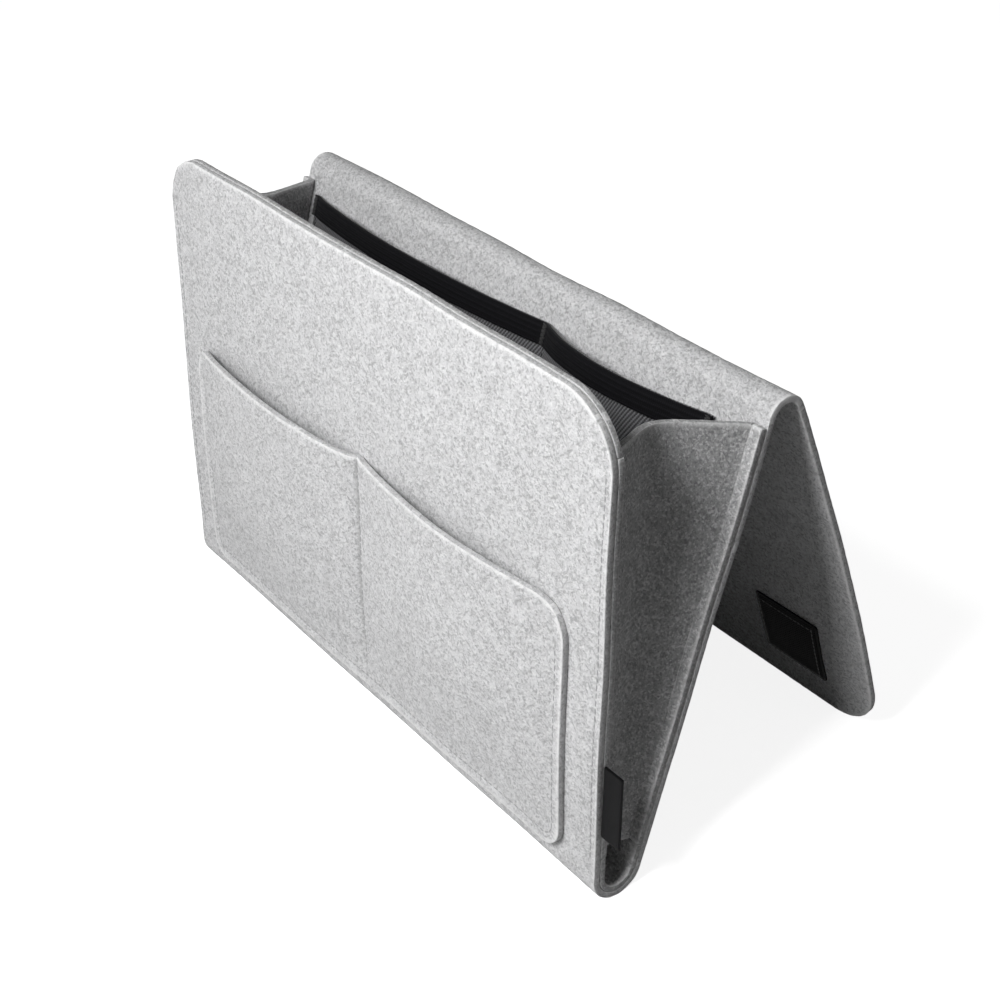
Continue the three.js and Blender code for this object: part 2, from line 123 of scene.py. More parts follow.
class Slot(Enum):
    """The record's material slots."""

    FELT = "felt"
    # painted shade: a darker copy of the felt for the linings and gussets, which lie in shade
    LINING = "felt_lining"
    GREY_THREAD = "grey_thread"
    BLACK_THREAD = "black_thread"
    MESH = "pocket_mesh"
    ELASTIC = "elastic"
    TAB = "woven_tab"
    HOOKS = "hook_tape"


class Side(Enum):
    """The two ends of the caddy, with the sign of X there."""

    LEFT = -1
    RIGHT = 1

    @property
    def label(self) -> str:
        """The side's name in the names of pieces."""
        return self.name.lower()


@dataclass(frozen=True)
class Cloth:
    """The sizes that the whole caddy shares."""

    half: float = 170 * MM
    thickness: float = 3 * MM
    front_lean: float = math.radians(-4.35)
    back_lean: float = math.radians(20.55)
    flap_lean: float = math.radians(21.35)  # at the ridge
    fold_middle: float = 11.5 * MM  # from the bottom fold's axis to the middle of the felt
    ridge_middle: float = 7.5 * MM  # the same at the ridge
    fold_reach: float = 6.8 * MM  # the turn at the fold is shared out over this much on either side
    front_height: float = 223 * MM
    back_height: float = 206.3 * MM
    flap_length: float = 211.1 * MM
    flap_bow: float = 1320 * MM  # radius of the flap's middle surface
    corner: float = 28.5 * MM
    gusset_bottom: float = 12 * MM
    gusset_top: float = 202 * MM
    seam_inset: float = 3.5 * MM
    seam_sunk: float = 0.2 * MM
    arris: float = 0.4 * MM
    step: float = 2.4 * MM
    wave: float = 60 * MM
    wave_height: float = 1.3 * MM
    wave_floor: float = 30 * MM  # the waves fade below this height
    lump: float = 3.1 * MM
    lump_height: float = 0.13 * MM

    @property
    def seam(self) -> float:
        """Half the distance between the rows of thread down a panel's two sides."""
        return self.half - self.seam_inset

    @property
    def seam_height(self) -> float:
        """From the fold's axis out to the rows of thread down the front and the back."""
        return self.fold_middle + self.thickness / 2 - self.seam_sunk

    @property
    def fold_angles(self) -> tuple[float, float]:
        """Where the bottom fold starts at the front and ends at the back, from +Y towards +Z."""
        return math.pi + self.front_lean, TURN - self.back_lean


CLOTH = Cloth()


@dataclass(frozen=True)
class Join:
    """A plane where one piece of the long felt sheet runs on into the next."""

    point: Vector
    normal: Vector

    def offset(self, points: Points) -> np.ndarray:
        """How far each point lies over the plane, along its normal."""
        return (points - np.array(self.point)) @ np.array(self.normal)

    def distance(self, points: Points) -> np.ndarray:
        """How far each point lies from the plane."""
        return np.abs(self.offset(points))


@dataclass(frozen=True)
class Plane:
    """A panel's plane, or a slightly bowed face: X across, Y up it from its fold's axis, Z out of it."""

    origin: Vector
    lean: float
    middle: float
    sense: int  # which way the long sheet's waves stand out here, along Z
    bow: float = 0.0  # radius of the middle surface, whose centre lies along Z; 0 where it is flat

    @property
    def matrix(self) -> Matrix:
        """The plane's frame in the object's frame."""
        return Matrix.Translation(self.origin) @ Matrix.Rotation(math.pi / 2 + self.lean, 4, "X")

    @property
    def up(self) -> Vector:
        """The way up the panel."""
        return self.matrix.to_3x3() @ Vector((0, 1, 0))

    @property
    def out(self) -> Vector:
        """The panel's normal."""
        return self.matrix.to_3x3() @ Vector((0, 0, 1))

    def world(self, points: Points) -> Points:
        """Takes points out of the plane's frame.

        Args:
            points: Places in the plane's frame, one row each.

        Returns:
            The same places in the object's frame, with the bow in them.
        """
        if self.bow:
            centre = self.middle + self.bow
            reach, angle = centre - points[:, 2], -points[:, 1] / self.bow
            points = np.column_stack([points[:, 0], -reach * np.sin(angle), centre - reach * np.cos(angle)])
        matrix = np.array(self.matrix)
        return points @ matrix[:3, :3].T + matrix[:3, 3]

    def spot(self, place: Vector) -> Matrix:
        """Finds the frame that stands on the plane at a place.

        Args:
            place: Where, in the plane's frame.

        Returns:
            That frame in the object's frame.
        """
        turn = Matrix.Rotation(place.y / self.bow, 4, "X") if self.bow else Matrix()
        where = Vector(self.world(np.array([place]))[0])
        return Matrix.Translation(where) @ self.matrix.to_3x3().to_4x4() @ turn

    def wave(self, x: np.ndarray, y: np.ndarray) -> np.ndarray:
        """How far the felt stands off its plane at a place, alike for every layer there."""
        middle = self.world(np.column_stack([x, y, np.full(len(x), self.middle)]))
        return self.sense * wave_height(middle)

    def join(self, up: float) -> Join:
        """The plane across the panel at a height."""
        return Join(self.matrix @ Vector((0, up, 0)), self.up)


def wave_height(points: Points) -> np.ndarray:
    """The slow waves of the long sheet at these places."""
    fade = np.clip(points[:, 2] / CLOTH.wave_floor, 0, 1)
    return fade * CLOTH.wave_height * np.array([noise.noise(Vector(place)) for place in points / CLOTH.wave])


@dataclass
class Frame:
    """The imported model's hinges and the planes that hang on them."""

    joints: list[dict]
    front: Plane = field(init=False)
    back: Plane = field(init=False)
    flap: Plane = field(init=False)

    def __post_init__(self) -> None:
        """Finds the planes from the hinges."""
        places = {joint["name"]: Vector(joint["pos_m"]) for joint in self.joints}
        fold, ridge = places[Joint.POUCH.value], places[Joint.FLAP.value]
        self.front = Plane(fold, CLOTH.front_lean, CLOTH.fold_middle, 1)
        self.back = Plane(fold, -CLOTH.back_lean, -CLOTH.fold_middle, -1)
        self.flap = Plane(ridge, CLOTH.flap_lean, -CLOTH.ridge_middle, 1, CLOTH.flap_bow)

    @property
    def fold_span(self) -> tuple[Vector, Vector]:
        """Where what bends at the bottom fold is still the back, and where it is already the front."""
        reach = CLOTH.fold_reach * (self.front.out + self.back.out).normalized()
        return self.front.origin - reach, self.front.origin + reach


# Mesh tools


def select_only(piece: bpy.types.Object) -> None:
    """Selects one object and makes it the active one."""
    bpy.ops.object.select_all(action="DESELECT")
    piece.select_set(True)
    bpy.context.view_layer.objects.active = piece


def apply_modifier(piece: bpy.types.Object, kind: str, **settings: object) -> None:
    """Adds a modifier with these settings and applies it.

    Args:
        piece: The object that it shapes.
        kind: Blender's name for the modifier's type.
        settings: The modifier's own properties.
    """
    select_only(piece)
    modifier = piece.modifiers.new(kind.title(), kind)
    for name, value in settings.items():
        setattr(modifier, name, value)
    bpy.ops.object.modifier_apply(modifier=modifier.name)


def vectors_of(values: bpy.types.bpy_prop_collection, name: str) -> Points:
    """Reads a vector of each item, such as the place of each vertex.

    Args:
        values: The items.
        name: What is read of each.

    Returns:
        One row for each item.
    """
    found = np.empty(len(values) * 3, np.float32)
    values.foreach_get(name, found)
    return found.reshape(-1, 3).astype(float)


def points_of(piece: bpy.types.Object) -> Points:
    """The places of an object's vertices, one row each."""
    return vectors_of(piece.data.vertices, "co")


def normals_of(piece: bpy.types.Object) -> Points:
    """The normals of an object's vertices, one row each."""
    return vectors_of(piece.data.vertex_normals, "vector")


def move_points(piece: bpy.types.Object, points: Points) -> None:
    """Puts an object's vertices at these places."""
    piece.data.vertices.foreach_set("co", points.astype(np.float32).ravel())
    piece.data.update()


def stops(start: float, end: float, step: float, seams: Sequence[float] = ()) -> np.ndarray:
    """Values from start to end at most a step apart, closer together round each seam.

    Args:
        start: The first value.
        end: The last value.
        step: The most between two values.
        seams: Where a row of stitches draws the cloth in.

    Returns:
        The values in order.
    """
    even = np.linspace(start, end, max(1, math.ceil(abs(end - start) / step)) + 1)
    close = np.array([seam + offset for seam in seams for offset in SEAM_LINES])
    close = close[(close > start + END_CLEAR) & (close < end - END_CLEAR)]
    far = [value for value in even[1:-1] if not len(close) or np.abs(close - value).min() > SEAM_CLEAR]
    return np.sort(np.concatenate([[start, end], far, close]))


def add_sheet(name: str, across: np.ndarray, along: np.ndarray, place: Place) -> bpy.types.Object:
    """Adds a grid and lays it along a surface.

    Args:
        name: The new object's name.
        across: The value of each column, such as its place across a panel.
        along: The value of each row.
        place: Gives the points, one row each, for columns' and rows' values.

    Returns:
        The sheet's middle surface, which has its two values as its UV map.
    """
    bpy.ops.object.select_all(action="DESELECT")
    columns, rows = len(across) - 1, len(along) - 1
    bpy.ops.mesh.primitive_grid_add(x_subdivisions=columns, y_subdivisions=rows, size=2)
    sheet = bpy.context.object
    sheet.name = sheet.data.name = name
    flat = points_of(sheet)
    u = across[np.rint((flat[:, 0] + 1) / 2 * columns).astype(int)]
    v = along[np.rint((flat[:, 1] + 1) / 2 * rows).astype(int)]
    move_points(sheet, place(u, v))
    corners = np.empty(len(sheet.data.loops), np.int32)
    sheet.data.loops.foreach_get("vertex_index", corners)
    layer = sheet.data.uv_layers[0]
    layer.name = "Cloth"
    layer.data.foreach_set("uv", np.column_stack([u, v])[corners].astype(np.float32).ravel())
    return sheet


def cut_away(sheet: bpy.types.Object, wanted: Callable[[float, float], bool]) -> None:
    """Deletes some faces of a sheet.

    Args:
        sheet: A sheet that still has one layer.
        wanted: Says by the two values of a face's middle whether it goes.
    """
    select_only(sheet)
    bpy.ops.object.mode_set(mode="EDIT")
    bpy.ops.mesh.select_mode(type="FACE")
    bpy.ops.mesh.select_all(action="DESELECT")
    mesh = bmesh.from_edit_mesh(sheet.data)
    layer = mesh.loops.layers.uv.active
    for face in mesh.faces:
        values = [loop[layer].uv for loop in face.loops]
        middle = sum(values, Vector((0, 0))) / len(values)
        face.select_set(wanted(middle.x, middle.y))
    bmesh.update_edit_mesh(sheet.data)
    bpy.ops.mesh.delete(type="FACE")
    bpy.ops.object.mode_set(mode="OBJECT")


def soften(piece: bpy.types.Object, radius: float, joins: Sequence[Join] = (), segments: int = 2) -> None:
    """Rounds the sharp edges of a piece, but not where it runs on into the next one.

    Args:
        piece: A closed mesh.
        radius: How far from the edge the rounding starts.
        joins: Where it runs on.
        segments: The faces across the rounding.
    """
    select_only(piece)
    bpy.ops.object.mode_set(mode="EDIT")
    bpy.ops.mesh.select_mode(type="EDGE")
    bpy.ops.mesh.select_all(action="SELECT")
    bpy.ops.mesh.normals_make_consistent(inside=False)
    bpy.ops.mesh.select_all(action="DESELECT")
    mesh = bmesh.from_edit_mesh(piece.data)
    points = np.array([vertex.co for vertex in mesh.verts])
    joined = [join.distance(points) < AT_JOIN for join in joins]
    for edge in mesh.edges:
        first, second = edge.verts[0].index, edge.verts[1].index
        sharp = edge.is_manifold and edge.calc_face_angle() > SHARP_ANGLE
        edge.select_set(sharp and not any(mask[first] and mask[second] for mask in joined))
    bmesh.update_edit_mesh(piece.data)
    bpy.ops.mesh.bevel(offset=radius, segments=segments, affect="EDGES", clamp_overlap=False)
    bpy.ops.object.mode_set(mode="OBJECT")


def away_from(points: Points, joins: Sequence[Join]) -> np.ndarray:
    """Finds how little the joins concern each point.

    Args:
        points: One row each.
        joins: Where a piece runs on into the next.

    Returns:
        0 at the joins, rising to 1 where they have faded out.
    """
    share = np.ones(len(points))
    for join in joins:
        share *= np.clip(join.distance(points) / JOIN_FADE, 0, 1)
    return share


def store(mesh: bpy.types.Mesh, name: str, domain: str, values: Sequence[float]) -> None:
    """Stores a number for each vertex (POINT) or face (FACE) of a mesh under a name."""
    mesh.attributes.new(name, "FLOAT", domain).data.foreach_set("value", np.array(values, np.float32))


def note_cloth(piece: bpy.types.Object, joins: Sequence[Join] = ()) -> None:
    """Stores what the finishes read: places at rest, arrises for the painted highlight, concave creases for
    the painted shade and the faces of cut ends.

    Args:
        piece: The object, with its final mesh.
        joins: Where its edge isn't a real one.
    """
    mesh = piece.data
    points, normals = points_of(piece), normals_of(piece)
    ends = np.empty(len(mesh.edges) * 2, np.int32)
    mesh.edges.foreach_get("vertices", ends)
    first, second = ends.reshape(-1, 2).T
    length = np.linalg.norm(points[second] - points[first], axis=1)
    turn, reach = np.zeros(len(points)), np.zeros(len(points))
    shortest = np.full(len(points), 1.0)
    for here, there in ((first, second), (second, first)):
        np.minimum.at(shortest, here, length)
        np.add.at(turn, here, np.einsum("ij,ij->i", points[here] - points[there], normals[here]))
        np.add.at(reach, here, length)
    bend = turn / np.maximum(reach, TINY) / FULL_EDGE * away_from(points, joins)
    edge = np.clip(bend, 0, 1) * (shortest < ARRIS_STEP)
    rest = mesh.attributes.new("rest", "FLOAT_VECTOR", "POINT")
    rest.data.foreach_set("vector", points.astype(np.float32).ravel())
    store(mesh, "edge", "POINT", edge)
    store(mesh, "crease_shade", "POINT", np.clip(-bend - CREASE_SHADE_START, 0, 1))
    cut = [face.area > CUT_FACE and min(edge[list(face.vertices)]) > RIM_EDGE for face in mesh.polygons]
    store(mesh, "rim", "FACE", cut)


def round_corner(x: np.ndarray, y: np.ndarray, centre: tuple[float, float], side: tuple[int, int]) -> Points:
    """Draws a grid's square corner in to a round one.

    Args:
        x: The points' places across.
        y: The points' places along.
        centre: The middle of the corner's arc.
        side: Which way the corner lies from there, as a sign for each direction.

    Returns:
        The new places, one row each.
    """
    u, v = (x - centre[0]) * side[0], (y - centre[1]) * side[1]
    inside = (u > 0) & (v > 0)
    reach = np.maximum(np.maximum(u, v), TINY)
    turn = np.minimum(u, v) / reach * math.pi / 4
    turn = np.where(u >= v, turn, math.pi / 2 - turn)
    new_x = np.where(inside, centre[0] + side[0] * reach * np.cos(turn), x)
    new_y = np.where(inside, centre[1] + side[1] * reach * np.sin(turn), y)
    return np.column_stack([new_x, new_y])


def groove(distance: np.ndarray, depth: float = 0.55 * MM, width: float = 1.2 * MM) -> np.ndarray:
    """How far a row of stitches draws the felt in at a distance from it."""
    return depth * np.exp(-((distance / width) ** 2))


def join_copies(name: str, model: bpy.types.Object, places: Sequence[Matrix]) -> bpy.types.Object:
    """Copies a small piece to each place and joins the copies into one object.

    Args:
        name: The joined object's name.
        model: The piece, which is used up.
        places: A matrix for each copy.

    Returns:
        The joined object.
    """
    copies = []
    for place in places:
        copy = model.copy()
        copy.data = model.data.copy()
        copy.data.transform(place)
        bpy.context.scene.collection.objects.link(copy)
        copies.append(copy)
    bpy.data.objects.remove(model)
    select_only(copies[0])
    for copy in copies:
        copy.select_set(True)
    bpy.ops.object.join()
    joined = bpy.context.object
    joined.name = joined.data.name = name
    return joined


# Finishes


def grey(level: float, blue: float = 0.0) -> tuple[float, float, float, float]:
    """A grey of that level, bluer by that share."""
    return (level, level, level * (1 + blue), 1.0)


@dataclass(frozen=True)
class Fibres:
    """Fibres that lie in several directions."""

    turns: tuple[tuple[float, float, float], ...]  # Euler angles of each direction
    width: float
    length: float
    few: float  # how rare they are; half of the surface at 0.5
    soft: float = 0.1  # how gradually they fade out at their sides


class Value:
    """A node's output, on which arithmetic adds Math nodes."""

    def __init__(self, shader: "Shader", socket: bpy.types.NodeSocket) -> None:
        """Keeps the output and the material that it is in."""
        self.shader = shader
        self.socket = socket

    def maths(self, operation: str, first: object, second: object = 0.0) -> "Value":
        """One Math node on two values."""
        return self.shader.node("ShaderNodeMath", {"operation": operation}, {0: first, 1: second})

    def __add__(self, other: object) -> "Value":
        """Self plus other."""
        return self.maths("ADD", self, other)

    __radd__ = __add__

    def __mul__(self, other: object) -> "Value":
        """Self times other."""
        return self.maths("MULTIPLY", self, other)

    __rmul__ = __mul__

    def __sub__(self, other: object) -> "Value":
        """Self less other."""
        return self.maths("SUBTRACT", self, other)

    def __rsub__(self, other: object) -> "Value":
        """Other less self."""
        return self.maths("SUBTRACT", other, self)

    def wave(self) -> "Value":
        """A wave from 0 to 1, whose period is 1."""
        return self.maths("SINE", self * TURN) * 0.5 + 0.5

    def largest(self, other: object) -> "Value":
        """The larger of self and other."""
        return self.maths("MAXIMUM", self, other)

    def between(self, low: float, high: float) -> "Value":
        """0 below low, 1 above high and a smooth rise between them."""
        settings = {"interpolation_type": "SMOOTHSTEP"}
        return self.shader.node("ShaderNodeMapRange", settings, {0: self, 1: low, 2: high, 3: 0.0, 4: 1.0})


class Shader:
    """A material under construction."""

    def __init__(self, name: str) -> None:
        """Starts an empty material with its output."""
        self.material = bpy.data.materials.new(name)
        self.material.use_nodes = True
        self.tree = self.material.node_tree
        self.tree.nodes.clear()
        self.output = self.tree.nodes.new("ShaderNodeOutputMaterial")

    def node(
        self,
        kind: str,
        settings: dict[str, object],
        inputs: dict[int | str, object],
        out: int | str = 0,
    ) -> Value:
        """Adds a node.

        Args:
            kind: The node's type.
            settings: The node's own properties, which are set first.
            inputs: A value or link for each socket, by its number or name.
            out: The output that is wanted.

        Returns:
            That output.
        """
        node = self.tree.nodes.new(kind)
        for name, value in settings.items():
            setattr(node, name, value)
        for key, value in inputs.items():
            if isinstance(value, Value):
                self.tree.links.new(value.socket, node.inputs[key])
            else:
                node.inputs[key].default_value = value
        return Value(self, node.outputs[out])

    def attribute(self, name: str, out: str) -> Value:
        """A value that the mesh stores at each vertex."""
        return self.node("ShaderNodeAttribute", {"attribute_name": name}, {}, out)

    def place(self) -> Value:
        """The place on the object."""
        return self.node("ShaderNodeTexCoord", {}, {}, "Object")

    def cloth(self) -> Value:
        """The place on the flat cloth, in metres."""
        return self.node("ShaderNodeUVMap", {"uv_map": "Cloth"}, {})

    def parts(self, vector: Value) -> tuple[Value, Value, Value]:
        """A vector's three parts."""
        outputs = self.node("ShaderNodeSeparateXYZ", {}, {0: vector}).socket.node.outputs
        return Value(self, outputs[0]), Value(self, outputs[1]), Value(self, outputs[2])

    def noise(self, place: Value, size: float, detail: float = 2.0, roughness: float = 0.5) -> Value:
        """Noise whose features are about this size."""
        inputs = {"Vector": place, "Scale": 1 / size, "Detail": detail, "Roughness": roughness}
        return self.node("ShaderNodeTexNoise", {}, inputs, "Fac")

    def strands(self, place: Value, fibres: Fibres) -> Value:
        """Lays fibres over the surface.

        Args:
            place: Where on the object.
            fibres: What they are like.

        Returns:
            1 on a fibre and 0 beside it.
        """
        total = None
        size = (fibres.width, fibres.width, fibres.length)
        for turn in fibres.turns:
            inputs = {"Vector": place, "Rotation": turn, "Scale": size}
            stretched = self.node("ShaderNodeMapping", {"vector_type": "TEXTURE"}, inputs)
            strand = self.noise(stretched, 1.0, 1.0).between(fibres.few, fibres.few + fibres.soft)
            total = strand if total is None else total.largest(strand)
        return total

    def mix(self, share: object, first: object, second: object) -> Value:
        """A mix of two colours."""
        return self.node("ShaderNodeMix", {"data_type": "RGBA"}, {0: share, 6: first, 7: second}, 2)

    def bump(self, height: Value, distance: float, strength: float = 1.0) -> Value:
        """A surface normal from a height of 0 to 1 over that distance."""
        inputs = {"Strength": strength, "Distance": distance, "Height": height}
        return self.node("ShaderNodeBump", {}, inputs, "Normal")

    def finish(self, inputs: dict[str, object]) -> bpy.types.Material:
        """Closes the material with a Principled shader that has these inputs."""
        surface = self.node("ShaderNodeBsdfPrincipled", {}, inputs)
        self.tree.links.new(surface.socket, self.output.inputs["Surface"])
        return self.material


DARK_WAYS = ((0.3, 0.2, 0), (0.2, 0.95, 0.4), (-0.3, -0.8, 0.2), (1.2, 1.5, 0.5))
LIGHT_WAYS = ((0.5, -0.25, 1.1), (-0.4, 1.25, -0.6), (1.5, 0.3, 0.9))


@dataclass(frozen=True)
class Felt:
    """Heather felt: pale wool with darker and lighter fibres, a painted highlight on its arrises where their
    fuzz catches the light, and painted shade in its concave creases.
    """

    name: str
    level: float = 0.68
    dark: float = 0.26
    light: float = 0.9
    # how strongly the painted highlight along the arrises shows, standing for fuzz that catches the light
    fuzz: float = 0.75
    dark_share: float = 0.7  # how strongly each of these colours shows
    light_share: float = 0.6
    hair_share: float = 0.14
    rim_share: float = 0.2
    # how strongly the painted shade in concave creases shows
    crease_shade_share: float = 0.6
    cloud: float = 6 * MM
    pit: float = 1.1 * MM
    dark_flecks: Fibres = Fibres(DARK_WAYS, 1.25 * MM, 3.6 * MM, 0.53, 0.22)
    light_flecks: Fibres = Fibres(LIGHT_WAYS, 1.25 * MM, 3.6 * MM, 0.55, 0.2)
    single_hairs: Fibres = Fibres(DARK_WAYS, 0.16 * MM, 1.6 * MM, 0.52)

    def make(self) -> bpy.types.Material:
        """Builds the material."""
        shader = Shader(self.name)
        place = shader.attribute("rest", "Vector")
        edge, rim, crease_shade = (shader.attribute(name, "Fac") for name in ("edge", "rim", "crease_shade"))
        cloud = shader.noise(place, self.cloud, 3.0, 0.65).between(0.3, 0.7)
        colour = shader.mix(cloud, grey(self.level * 0.88, 0.012), grey(self.level * 1.08, 0.012))
        dark = shader.strands(place, self.dark_flecks)
        colour = shader.mix(dark * self.dark_share, colour, grey(self.dark, 0.03))
        light = shader.strands(place, self.light_flecks)
        colour = shader.mix(light * self.light_share, colour, grey(self.light))
        hairs = shader.strands(place, self.single_hairs)
        colour = shader.mix(hairs * self.hair_share, colour, grey(self.dark, 0.02))
        colour = shader.mix(rim * self.rim_share, colour, grey(self.level * 0.6))
        # painted highlight: the arrises are lightened, as their fuzz catches the light
        colour = shader.mix(edge * (1 - rim) * self.fuzz, colour, grey(self.light))
        # painted shade: concave creases are darkened, as shade falls in them
        colour = shader.mix(crease_shade * self.crease_shade_share, colour, grey(self.level * 0.35))
        pits = shader.noise(place, self.pit, 2.0, 0.6)
        height = hairs * 0.35 + pits * 0.9 + dark * 0.25
        return shader.finish(
            {
                "Base Color": colour,
                "Roughness": 0.95,
                "Specular IOR Level": 0.15,
                "Sheen Weight": 0.2,
                "Sheen Roughness": 0.6,
                "Normal": shader.bump(height, 0.45 * MM, 0.8),
            }
        )


@dataclass(frozen=True)
class Thread:
    """Sewing thread with its twist and a little fuzz."""

    name: str
    level: float
    twist: float = 0.6 * MM

    def make(self) -> bpy.types.Material:
        """Builds the material."""
        shader = Shader(self.name)
        place = shader.place()
        x, y, z = shader.parts(place)
        ply = ((x + y + z * 1.4) * (1 / self.twist)).wave()
        fuzz = shader.noise(place, 0.4 * MM)
        colour = shader.mix(ply, grey(self.level * 0.7, 0.03), grey(self.level * 1.15, 0.02))
        normal = shader.bump(ply * 0.7 + fuzz * 0.5, 0.1 * MM)
        return shader.finish({"Base Color": colour, "Roughness": 0.75, "Sheen Weight": 0.2, "Normal": normal})


@dataclass(frozen=True)
class KnittedMesh:
    """Knitted mesh with fine slanting ribs and small holes between them."""

    name: str
    level: float = 0.26
    gap_level: float = 0.03
    rib_pitch: float = 1.5 * MM
    hole_pitch: float = 1.1 * MM
    slant: float = math.radians(62)

    def make(self) -> bpy.types.Material:
        """Builds the material."""
        shader = Shader(self.name)
        cloth = shader.cloth()
        u, v, _ = shader.parts(cloth)
        rise = v * math.cos(self.slant) - u * math.sin(self.slant)
        run = u * math.cos(self.slant) + v * math.sin(self.slant)
        rib = (rise * (1 / self.rib_pitch)).wave()
        stitch = (run * (1 / self.hole_pitch)).wave()
        yarn = shader.noise(cloth, 0.5 * MM)
        solid = rib.largest(stitch * 0.8).between(0.3, 0.6)
        tone = shader.mix(yarn, grey(self.level * 0.75, 0.05), grey(self.level * 1.25, 0.05))
        colour = shader.mix(rib * 0.75 + stitch * 0.2, grey(self.gap_level), tone)
        return shader.finish(
            {
                "Base Color": colour,
                "Roughness": 0.75,
                "Sheen Weight": 0.15,
                "Alpha": solid * 0.6 + 0.4,
                "Normal": shader.bump(rib + stitch * 0.4, 0.25 * MM),
            }
        )


@dataclass(frozen=True)
class Weave:
    """Black tape: rows of yarn across and along it."""

    name: str
    level: float
    across_pitch: float
    along_pitch: float
    blue: float
    specular: float
    roughness: float = 0.8

    def make(self) -> bpy.types.Material:
        """Builds the material."""
        shader = Shader(self.name)
        cloth = shader.cloth()
        u, v, _ = shader.parts(cloth)
        check = (u * (1 / self.across_pitch)).wave() * (v * (1 / self.along_pitch)).wave()
        wear = shader.noise(cloth, 2.5 * MM, 3.0)
        dull, bright = grey(self.level * 0.5, self.blue), grey(self.level * 2.6, self.blue)
        return shader.finish(
            {
                "Base Color": shader.mix(check * wear, dull, bright),
                "Roughness": self.roughness,
                "Specular IOR Level": self.specular,
                "Sheen Weight": 0.04,
                "Normal": shader.bump(check, 0.15 * MM),
            }
        )


@dataclass(frozen=True)
class Hooks:
    """Black nylon of the hook tape."""

    name: str
    level: float = 0.0008

    def make(self) -> bpy.types.Material:
        """Builds the material."""
        shader = Shader(self.name)
        grain = shader.noise(shader.place(), 0.6 * MM)
        colour = shader.mix(grain, grey(self.level * 0.5), grey(self.level * 1.8, 0.1))
        return shader.finish(
            {
                "Base Color": colour,
                "Roughness": grain * 0.2 + 0.6,
                "Specular IOR Level": 0.05,
                "Normal": shader.bump(grain, 0.1 * MM),
            }
        )


FINISHES = {
    Slot.FELT: Felt("felt"),
    # the same felt, darker: painted shade for the linings and gussets
    Slot.LINING: Felt("shaded felt", level=0.45, dark=0.18, fuzz=0.55),
    Slot.GREY_THREAD: Thread("grey thread", level=0.3),
    Slot.BLACK_THREAD: Thread("black thread", level=0.006),
    Slot.MESH: KnittedMesh("pocket mesh"),
    Slot.ELASTIC: Weave("elastic", 0.004, 0.9 * MM, 1.2 * MM, blue=0.4, specular=0.15),
    Slot.TAB: Weave("woven tab", 0.003, 0.5 * MM, 0.6 * MM, blue=0.25, specular=0.08),
    Slot.HOOKS: Hooks("hook tape"),
}


# Sub-assemblies


@dataclass
class Workshop:
    """What every sub-assembly shares: the frame, the materials and how a piece is finished off."""

    frame: Frame
    materials: dict[Slot, bpy.types.Material]

    def felt_sheet(
        self,
        name: str,
        across: np.ndarray,
        along: np.ndarray,
        place: Place,
        thickness: float = CLOTH.thickness,
        joins: Sequence[Join] = (),
        away: Callable[[float, float], bool] | None = None,
    ) -> bpy.types.Object:
        """A felt sheet with soft arrises and a slightly uneven surface.

        Args:
            name: The piece's name.
            across: The columns' values.
            along: The rows' values.
            place: Gives the middle surface in the object's frame.
            thickness: Of the felt.
            joins: Where it runs on into the next piece.
            away: Says which part of the grid is cut away.

        Returns:
            The piece.
        """
        sheet = add_sheet(name, across, along, place)
        if away:
            cut_away(sheet, away)
        apply_modifier(sheet, "SOLIDIFY", thickness=thickness, offset=0.0, use_even_offset=True)
        points = points_of(sheet)
        for join in joins:
            off = join.offset(points)
            points -= np.where(np.abs(off) < JOIN_REACH, off, 0)[:, None] * np.array(join.normal)
        move_points(sheet, points)
        soften(sheet, CLOTH.arris, joins)
        points = points_of(sheet)
        lumps = np.array([noise.noise(Vector(p)) for p in points / CLOTH.lump]) * CLOTH.lump_height
        lumps *= away_from(points, joins)
        move_points(sheet, points + normals_of(sheet) * lumps[:, None])
        return sheet

    def dress(
        self,
        piece: bpy.types.Object,
        slot: Slot,
        node: str,
        body: Body | None = None,
        joins: Sequence[Join] = (),
    ) -> None:
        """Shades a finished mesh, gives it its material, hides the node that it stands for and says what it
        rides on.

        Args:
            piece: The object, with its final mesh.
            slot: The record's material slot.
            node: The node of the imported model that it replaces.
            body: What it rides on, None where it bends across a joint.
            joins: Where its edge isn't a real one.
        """
        select_only(piece)
        bpy.ops.object.shade_smooth_by_angle(angle=SMOOTH_ANGLE)
        note_cloth(piece, joins)
        piece.data.materials.clear()
        piece.data.materials.append(self.materials[slot])
        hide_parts(node)
        if body:
            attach(piece, body.value)
        log.info("%s: %d faces", piece.name, len(piece.data.polygons))


